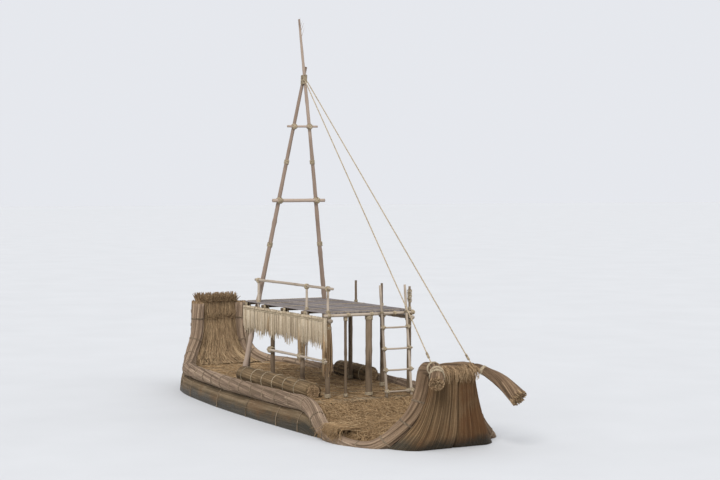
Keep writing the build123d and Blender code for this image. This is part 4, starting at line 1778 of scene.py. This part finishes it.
@dataclass
class Framework:
    """Posts, beams and poles of the upper deck.

    Args:
        palette: the materials.
        ropes: the lashings of all its joints.
    """

    palette: Palette
    ropes: Strands = field(default_factory=lambda: Strands("frame_lashings", 0.0085, 1))

    def build(self) -> None:
        """Makes the posts, beams, joists, mat and fringe."""
        along, across, up = Vector((1, 0, 0)), Vector((0, 1, 0)), Vector((0, 0, 1))
        for side in Side:
            y = side.value * SIDE_BEAM_Y
            weaver = Weaver(seed=101 + side.value)
            for x in POST_ROWS:
                line = [(x, y, z) for z in (CROSSBEAM_Z, POST_MIDDLE_Z, 1.985)]
                weaver.tube(line, [0.046, 0.043, 0.045], POLE)
                joint = Vector((x, y, SIDE_BEAM_Z - 0.02))
                cross_lashing(self.ropes, joint, along, up, (0.062, 0.05), 0.0085)
                lashing(self.ropes, Vector((x, y, 0.6)), up, 0.045, 4, 0.0085)
            piece = weaver.finish(f"deck_posts_{side.label}")
            self.palette.place(piece, Slot.WEATHERED, f"side_posts_{side.label}", ends=Slot.BLEACHED)
            weaver = Weaver(seed=105 + side.value)
            weaver.tube([(x, y, SIDE_BEAM_Z) for x in (-1.49, 0.4, 2.27)], [0.041, 0.039, 0.038], POLE)
            piece = weaver.finish(f"side_beam_{side.label}")
            self.palette.place(piece, Slot.BLEACHED, f"upper_side_beam_{side.label}", ends=Slot.CUT)
        self._joists(along, across)
        self._front_posts()
        self._mat()
        self._fringe()
        self._hanging()
        self.palette.place(self.ropes.finish(16), Slot.ROPE)

    def _hanging(self) -> None:
        """Bunches of reeds tied to the front posts of the starboard side."""
        chance = random.Random(151)
        reeds = Strands("hanging_bunches", 0.0085, 0)
        for x, count, longest in ((-0.2, 26, 0.5), (1.1, 70, 0.85), (2.12, 95, 1.05)):
            for _ in range(count):
                angle = chance.uniform(0, 2 * math.pi)
                out = Vector((math.cos(angle), math.sin(angle), 0))
                drop = longest * chance.uniform(0.55, 1.0)
                top = Vector((x, -SIDE_BEAM_Y, 1.97)) + out * 0.052
                sway = Vector((chance.gauss(0, 0.015), chance.gauss(0, 0.015), 0))
                reeds.add([
                    top,
                    top + out * 0.016 - Vector((0, 0, 0.3 * drop)) + 0.4 * sway,
                    top + out * 0.024 - Vector((0, 0, 0.7 * drop)) + 0.8 * sway,
                    top + out * 0.02 - Vector((0, 0, drop)) + sway,
                ], 1.0, chance.uniform(0.3, 0.8))
            lashing(self.ropes, Vector((x, -SIDE_BEAM_Y, 1.86)), Vector((0, 0, 1)), 0.066, 3, 0.008)
        self.palette.place(reeds.finish(30), Slot.CUT)

    def _joists(self, along: Vector, across: Vector) -> None:
        """Poles across the side beams.

        Args:
            along: direction of the side beams.
            across: direction of the joists.
        """
        low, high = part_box("upper_deck_joists")
        rows = [low.x + 0.03 + (high.x - low.x - 0.06) * i / 4 for i in range(5)]
        weaver = Weaver(seed=111)
        for x in rows:
            weaver.tube(self._cross_pole(x), [0.03, 0.031, 0.029], THIN_POLE)
            for side in Side:
                joint = Vector((x, side.value * SIDE_BEAM_Y, 2.045))
                cross_lashing(self.ropes, joint, along, across, (0.055, 0.07), 0.0075)
        self.palette.place(weaver.finish("joist_poles"), Slot.WEATHERED, "upper_deck_joists", ends=Slot.CUT)
        weaver = Weaver(seed=112)
        x = FRONT_POLE_X
        weaver.tube(self._cross_pole(x), [0.03, 0.03, 0.028], THIN_POLE)
        piece = weaver.finish("front_edge_pole")
        self.palette.place(piece, Slot.BLEACHED, "upper_deck_front_pole", ends=Slot.CUT)
        corners = 20
        for y in (-0.9, -0.5, 0.0, 0.5, 0.9):
            for turn in range(4):
                points = []
                for step in range(corners):
                    angle = 2 * math.pi * step / corners
                    points.append((
                        x - 0.03 + 0.07 * math.cos(angle), y + 0.017 * turn, JOIST_Z + 0.04 * math.sin(angle)
                    ))
                self.ropes.add(points, cyclic=True)

    @staticmethod
    def _cross_pole(x: float) -> list[Point]:
        """Line of a pole across both side beams.

        Args:
            x: place along the boat.

        Returns:
            Its points.
        """
        return [(x, y, JOIST_Z) for y in (-JOIST_REACH, 0, JOIST_REACH)]

    def _front_posts(self) -> None:
        """The thick and the thin post under the front edge."""
        up = Vector((0, 0, 1))
        for name, node, y, radii, skin, seed in (
            ("centre_post", "front_post_centre", 0.0, (0.066, 0.062, 0.064), POLE, 121),
            ("thin_post", "front_post_thin", -0.5, (0.029, 0.027, 0.028), THIN_POLE, 122),
        ):
            weaver = Weaver(seed=seed)
            line = [(FRONT_POST_X, y, z) for z in (CROSSBEAM_Z, POST_MIDDLE_Z, FRONT_POST_HEAD_Z)]
            weaver.tube(line, radii, skin)
            self.palette.place(weaver.finish(name), Slot.WEATHERED, node, ends=Slot.CUT)
            lashing(self.ropes, Vector((FRONT_POST_X, y, 2.02)), up, radii[-1], 4, 0.0085)
            lashing(self.ropes, Vector((FRONT_POST_X, y, 0.59)), up, radii[-1], 3, 0.0085)

    def _mat(self) -> None:
        """Grey reeds along the upper deck."""
        chance = random.Random(131)
        mat = Strands("reed_upper_mat", 0.0135, 1)
        pitch, y = 0.0255, -UPPER_MAT_REACH
        while y < UPPER_MAT_REACH:
            span = (-1.42 + chance.uniform(0.0, 0.04), 2.18 - chance.uniform(0.0, 0.03))
            reed = laid_reed(span, y, 2.136, 0.002, 8, chance)
            mat.add(reed, chance.uniform(0.85, 1.05), chance.uniform(0.85, 1.05))
            y += pitch
        self.palette.place(mat.finish(17), Slot.MAT, "upper_deck_mat")
        ropes = Strands("upper_mat_stitching", 0.005, 0)
        for x in (-1.35, -0.5, 0.38, 1.25, 2.06):
            ropes.add([
                (x + 0.008 * math.sin(7 * turn), -UPPER_MAT_REACH + turn * pitch, 2.149 + 0.003 * (turn % 2))
                for turn in range(71)
            ])
        self.palette.place(ropes.finish(18), Slot.ROPE)

    def _fringe(self) -> None:
        """Pale reeds that hang along the starboard side, longest at the front corner."""
        chance = random.Random(141)
        low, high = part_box("reed_fringe")
        reeds = Strands("hanging_fringe", 0.0085, 0)
        count = 820
        for index in range(count):
            x = low.x + (high.x - low.x) * (index + chance.random()) / count
            y = high.y - 0.004 - chance.uniform(0.0, 0.03)
            share = (x - low.x) / (high.x - low.x)
            spike = 0.19 * (0.35 + 0.65 * abs(math.sin(18.4 * index / count + 0.7)))
            drop = 0.40 + chance.uniform(-0.02, 0.07) + (spike * chance.random() ** 2)
            if share > 0.93:
                drop += 0.22 * chance.random() * (share - 0.93) / 0.07
            top = high.z - chance.uniform(0.0, 0.012)
            sway = chance.gauss(0, 0.012)
            reeds.add([
                Vector((x, y, top)),
                Vector((x + 0.3 * sway, y - 0.004, top - 0.35 * drop)),
                Vector((x + 0.7 * sway, y - 0.002, top - 0.7 * drop)),
                Vector((x + sway, y, top - drop)),
            ], 1.0, chance.uniform(0.25, 0.8))
        self.palette.place(reeds.finish(19), Slot.FRINGE, "reed_fringe")
        band = Strands("fringe_band", 0.012, 1)
        for z in (high.z - 0.05, high.z - 0.075):
            band.add([
                (low.x + 0.02 + step * 0.09, low.y + 0.002, z + 0.004 * math.sin(3 * step))
                for step in range(40)
            ])
        self.palette.place(band.finish(20), Slot.ROPE)


@dataclass
class Rails:
    """Rail posts and rails of the two decks.

    Args:
        palette: the materials.
    """

    palette: Palette

    def build(self) -> None:
        """Makes the rails and their lashings."""
        ropes = Strands("rail_lashings", 0.0075, 1)
        along, up = Vector((1, 0, 0)), Vector((0, 0, 1))
        rows = {Side.STARBOARD: (-0.845, 1.28, 2.14), Side.PORT: (0.03, 1.08, 2.14)}
        slots = {Side.STARBOARD: Slot.BLEACHED, Side.PORT: Slot.WEATHERED}
        for side in Side:
            y = side.value * SIDE_BEAM_Y
            weaver = Weaver(seed=151 + side.value)
            for x in rows[side]:
                line = [(x, y, z) for z in (SIDE_BEAM_Z, 2.3, 2.585)]
                weaver.tube(line, [0.025, 0.024, 0.023], THIN_POLE)
                lashing(ropes, Vector((x, y, 2.16)), up, 0.025, 4, 0.0075)
                if side is Side.STARBOARD:
                    cross_lashing(ropes, Vector((x, y, 2.59)), along, up, (0.04, 0.032), 0.0075)
            piece = weaver.finish(f"rail_post_poles_{side.label}")
            self.palette.place(piece, slots[side], f"rail_posts_{side.label}", ends=Slot.CUT)
        for node, name, z, y, reach, radius in (
            ("top_rail_starboard", "top_rail_pole", TOP_RAIL_Z, -SIDE_BEAM_Y, (-0.99, 2.33), 0.0265),
            ("mid_rail_starboard", "mid_rail_pole", MID_RAIL_Z, -0.9503, (-0.29, 2.21), 0.0245),
        ):
            weaver = Weaver(seed=161)
            line = [(x, y, z) for x in (reach[0], 0.7, reach[1])]
            weaver.tube(line, [radius, radius, 0.9 * radius], THIN_POLE)
            self.palette.place(weaver.finish(name), Slot.BLEACHED, node, ends=Slot.CUT)
        for x in POST_ROWS[1:]:
            cross_lashing(ropes, Vector((x, -0.915, MID_RAIL_Z)), along, up, (0.06, 0.06), 0.0075)
        for turn in range(14):
            angle = 0.9 * turn
            tilt = Vector((math.cos(angle) * 0.5, math.sin(angle) * 0.5, 1)).normalized()
            centre = Vector((2.14, SIDE_BEAM_Y, 2.30 + 0.016 * turn))
            lashing(ropes, centre, tilt, 0.03 + 0.004 * (turn % 3), 1, 0.0075)
        self.palette.place(ropes.finish(21), Slot.ROPE)


@dataclass
class Ladder:
    """The ladder that leans on the front edge of the upper deck.

    Args:
        palette: the materials.
        stiles: Y of its two stiles.
        rungs: how many rungs it has.
    """

    palette: Palette
    stiles: tuple[float, float] = (0.22, 0.76)
    rungs: int = 4

    def build(self) -> None:
        """Makes stiles, rungs and lashings."""
        low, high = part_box("ladder_stiles")
        foot = Vector((high.x - 0.026, 0, low.z))
        head = Vector((low.x + 0.026, 0, high.z - 0.004))
        ropes = Strands("ladder_lashings", 0.0065, 1)
        weaver = Weaver(seed=171)
        for y in self.stiles:
            side = Vector((0, y, 0))
            line = [tuple(place + side) for place in (foot, (foot + head) / 2, head)]
            weaver.tube(line, [0.026, 0.025, 0.023], THIN_POLE)
            lashing(ropes, foot.lerp(head, 0.755) + side, head - foot, 0.03, 3, 0.0065)
        self.palette.place(weaver.finish("ladder_stile_poles"), Slot.BLEACHED, "ladder_stiles", ends=Slot.CUT)
        low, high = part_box("ladder_rungs")
        first = Vector((high.x - 0.018, 0, low.z + 0.018))
        last = Vector((low.x + 0.018, 0, high.z - 0.018))
        weaver = Weaver(seed=172)
        up = (head - foot).normalized()
        for index in range(self.rungs):
            place = first.lerp(last, index / (self.rungs - 1))
            line = [(place.x, 0.16, place.z), (place.x, 0.49, place.z - 0.004), (place.x, 0.82, place.z)]
            weaver.tube(line, [0.0175, 0.0182, 0.017], THIN_POLE)
            for y in self.stiles:
                joint = Vector((place.x - 0.018, y, place.z))
                cross_lashing(ropes, joint, Vector((0, 1, 0)), up, (0.032, 0.042), 0.0065)
        self.palette.place(weaver.finish("ladder_rung_poles"), Slot.BLEACHED, "ladder_rungs", ends=Slot.CUT)
        self.palette.place(ropes.finish(22), Slot.ROPE)


@dataclass
class Mast:
    """The two legs, their crossbars, the top pole and the stays.

    Args:
        palette: the materials.
        step: foot of the port leg; the other one mirrors it.
        crossing: where the legs cross.
        gap: distance between their middle lines there.
        foot_width: diameter of a leg at its foot.
        head_width: diameter of a leg at the crossing.
    """

    palette: Palette
    step: Point = (-1.3, 1.03, MAT_TOP)
    crossing: Point = (-0.55, 0.0, MAST_CROSSING_Z)
    gap: float = 0.0648
    foot_width: float = 0.104
    head_width: float = 0.064

    def _on_leg(self, side: Side, z: float) -> Vector:
        """Point on the middle line of a leg.

        Args:
            side: side of the leg's foot.
            z: height of the point.

        Returns:
            The point.
        """
        share = (z - MAT_TOP) / (self.crossing[2] - MAT_TOP)
        gap = self.gap / math.cos(math.atan2(MAST_RAKE_X, MAST_RAKE_Z)) / 2
        return Vector((
            self.step[0] + share * (self.crossing[0] + side.value * gap - self.step[0]),
            side.value * self.step[1] * (1 - share),
            z,
        ))

    def _radius(self, z: float) -> float:
        """Radius of a leg.

        Args:
            z: height on the leg.

        Returns:
            The radius.
        """
        share = (z - MAT_TOP) / MAST_RAKE_Z
        return (self.foot_width + share * (self.head_width - self.foot_width)) / 2

    def build(self) -> None:
        """Makes the mast and the stays."""
        ropes = Strands("mast_lashings", 0.010, 1)
        skin = Skin(strands=1, columns=14, flute=0.0, wobble=0.003, pitch=0.11, bend=0.02, knots=1.1)
        above = {Side.STARBOARD: [6.9], Side.PORT: [7.2, 7.6, 7.83]}
        for side in Side:
            levels = [MAT_TOP, 2.5, 4.5, MAST_CROSSING_Z, *above[side]]
            radii = [
                self._radius(z) if z <= MAST_CROSSING_Z else 0.031 - 0.009 * (z - MAST_CROSSING_Z)
                for z in levels
            ]
            weaver = Weaver(seed=181 + side.value)
            weaver.tube([tuple(self._on_leg(side, z)) for z in levels], radii, skin)
            piece = weaver.finish(f"mast_pole_{side.label}")
            self.palette.place(piece, Slot.MAST, f"mast_leg_{side.label}", ends=Slot.CUT)
            axis = self._on_leg(side, levels[-1]) - self._on_leg(side, 1)
            for z in (3.3, 4.98):
                lashing(ropes, self._on_leg(side, z), axis, self._radius(z), 5, 0.008)
        self._crossbars(ropes)
        axis, across = Vector((MAST_RAKE_X, 0, MAST_RAKE_Z)), Vector((1, 0, 0))
        corners = 22
        for turn in range(9):
            centre = Vector(self.crossing) + axis.normalized() * (0.02 * (turn - 4))
            points = []
            for step in range(corners):
                angle = 2 * math.pi * step / corners
                wave = Vector((0, 0.047 * math.sin(angle), 0.012 * math.cos(2 * angle)))
                points.append(centre + across * (0.082 * math.cos(angle)) + wave)
            ropes.add(points, cyclic=True)
        self.palette.place(ropes.finish(23), Slot.ROPE, "masthead_lashing")
        self._twigs()
        self._stays()

    def _crossbars(self, ropes: Strands) -> None:
        """Bars lashed across the legs.

        Args:
            ropes: where the lashings go.
        """
        for name, z, length, radius in (("lower", 4.2, 1.16, 0.036), ("upper", 5.7, 0.64, 0.023)):
            forward = Vector((self._radius(z) + radius - 0.008, 0, 0))
            near, far = self._on_leg(Side.STARBOARD, z) + forward, self._on_leg(Side.PORT, z) + forward
            way = (far - near).normalized()
            middle = (near + far) / 2
            weaver = Weaver(seed=191)
            line = [tuple(place) for place in (middle - way * length / 2, middle, middle + way * length / 2)]
            weaver.tube(line, [radius, radius, 0.93 * radius], THIN_POLE)
            piece = weaver.finish(f"crossbar_{name}")
            self.palette.place(piece, Slot.MAST, f"mast_crossbar_{name}", ends=Slot.CUT)
            for side in Side:
                leg = self._on_leg(side, z + 0.5) - self._on_leg(side, z)
                reach = (max(radius, self._radius(z)) * 1.3, (radius + self._radius(z)) * 0.95)
                joint = self._on_leg(side, z) + forward * 0.5
                cross_lashing(ropes, joint, way, leg.normalized(), reach, 0.009)

    def _twigs(self) -> None:
        """Thin twigs left on the top pole."""
        chance = random.Random(201)
        twigs = Strands("mast_twigs", 0.005, 0)
        for z in (7.3, 7.45, 7.58, 7.66, 7.74):
            foot = self._on_leg(Side.PORT, z)
            way = Vector((chance.uniform(-0.2, 0.6), chance.uniform(-0.6, 0.6), 0.9)).normalized()
            length = min(chance.uniform(0.14, 0.26), (7.86 - z) / way.z)
            twigs.add([foot, foot + way * 0.5 * length + Vector((0.01, 0, 0)), foot + way * length], 1.0, 0.3)
        self.palette.place(twigs.finish(24), Slot.MAST)

    def _stays(self) -> None:
        """Taut ropes from the crossing to the bow horns, each with a hitch at its foot."""
        for side in Side:
            low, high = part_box(f"forestay_{side.label}")
            foot_y = low.y if side is Side.STARBOARD else high.y
            foot = Vector((high.x, foot_y - side.value * 0.011, low.z + 0.01))
            head = Vector((low.x + 0.01, side.value * 0.02, high.z - 0.01))
            rope = Strands(f"stay_{side.label}", 0.0065, 1)
            way = (foot - head).normalized()
            across = way.orthogonal().normalized()
            beside = way.cross(across)
            count = 260
            for strand in range(3):
                points = []
                for index in range(count + 1):
                    angle = 2 * math.pi * (index / 9 + strand / 3)
                    out = across * math.cos(angle) + beside * math.sin(angle)
                    points.append(head.lerp(foot, index / count) + out * 0.0055)
                rope.add(points)
            for turn in range(4):
                lashing(rope, head.lerp(foot, 0.985) - way * 0.03 * turn, way, 0.011, 2, 0.006)
            self.palette.place(rope.finish(25), Slot.ROPE, f"forestay_{side.label}")


@dataclass(frozen=True)
class Studio:
    """Camera at the photograph's place, soft light and a pale floor.

    Args:
        eye: where the camera stands.
        ahead: direction that it looks in.
        lens: focal length in millimetres on a 36 mm sensor.
        sight: how far the camera sees.
        floor_half: half of the floor's width.
    """

    eye: Point = (27.27, -14.21, 4.5)
    ahead: Point = (-0.87291, 0.48661, -0.03525)
    lens: float = 77.0
    sight: float = 900.0
    floor_half: float = 300.0

    def build(self) -> None:
        """Makes the camera, the lights, the world and the floor."""
        scene = bpy.context.scene
        scene.view_settings.view_transform = "Standard"
        data = bpy.data.cameras.new("photo_camera")
        data.lens = self.lens
        data.clip_end = self.sight
        camera = bpy.data.objects.new("photo_camera", data)
        camera.location = self.eye
        camera.rotation_euler = Vector(self.ahead).to_track_quat("-Z", "Y").to_euler()
        scene.collection.objects.link(camera)
        scene.camera = camera
        self._light("key_light", (17, -16, 19), 2.3, 24)
        self._light("fill_light", (14, 17, 9), 0.7, 60)
        world = bpy.data.worlds.new("studio")
        world.use_nodes = True
        background = world.node_tree.nodes["Background"]
        background.inputs[0].default_value = (0.93, 0.95, 1.0, 1)
        background.inputs[1].default_value = 0.85
        scene.world = world
        work = bmesh.new()
        bmesh.ops.create_grid(work, x_segments=2, y_segments=2, size=self.floor_half)
        mesh = bpy.data.meshes.new("studio_floor")
        work.to_mesh(mesh)
        work.free()
        floor = link("studio_floor", mesh)
        mesh.materials.append(FloorFinish("studio floor", (0.6, 0.605, 0.61)).build())
        floor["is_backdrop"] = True

    @staticmethod
    def _light(name: str, place: Point, power: float, spread: float) -> None:
        """One soft light from far away.

        Args:
            name: its name.
            place: where it stands.
            power: its strength.
            spread: its width in degrees.
        """
        data = bpy.data.lights.new(name, "SUN")
        data.energy, data.angle = power, math.radians(spread)
        light = bpy.data.objects.new(name, data)
        light.location = place
        light.rotation_euler = (Vector((0.5, 0, 1.5)) - Vector(place)).to_track_quat("-Z", "Y").to_euler()
        bpy.context.scene.collection.objects.link(light)


def main() -> None:
    """Dresses the boat."""
    logging.basicConfig(level=logging.INFO, format="%(name)s %(message)s")
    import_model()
    Studio().build()
    palette = Palette()
    assemblies: tuple[Callable, ...] = (Hull, Gunwales, LowerDeck, Framework, Rails, Ladder, Mast)
    for assembly in assemblies:
        assembly(palette).build()
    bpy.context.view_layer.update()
    total = sum(len(o.data.loop_triangles) or len(o.data.polygons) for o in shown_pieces() if o.type == "MESH")
    LOG.info("faces in all %d", total)


if __name__ == "__main__":
    main()
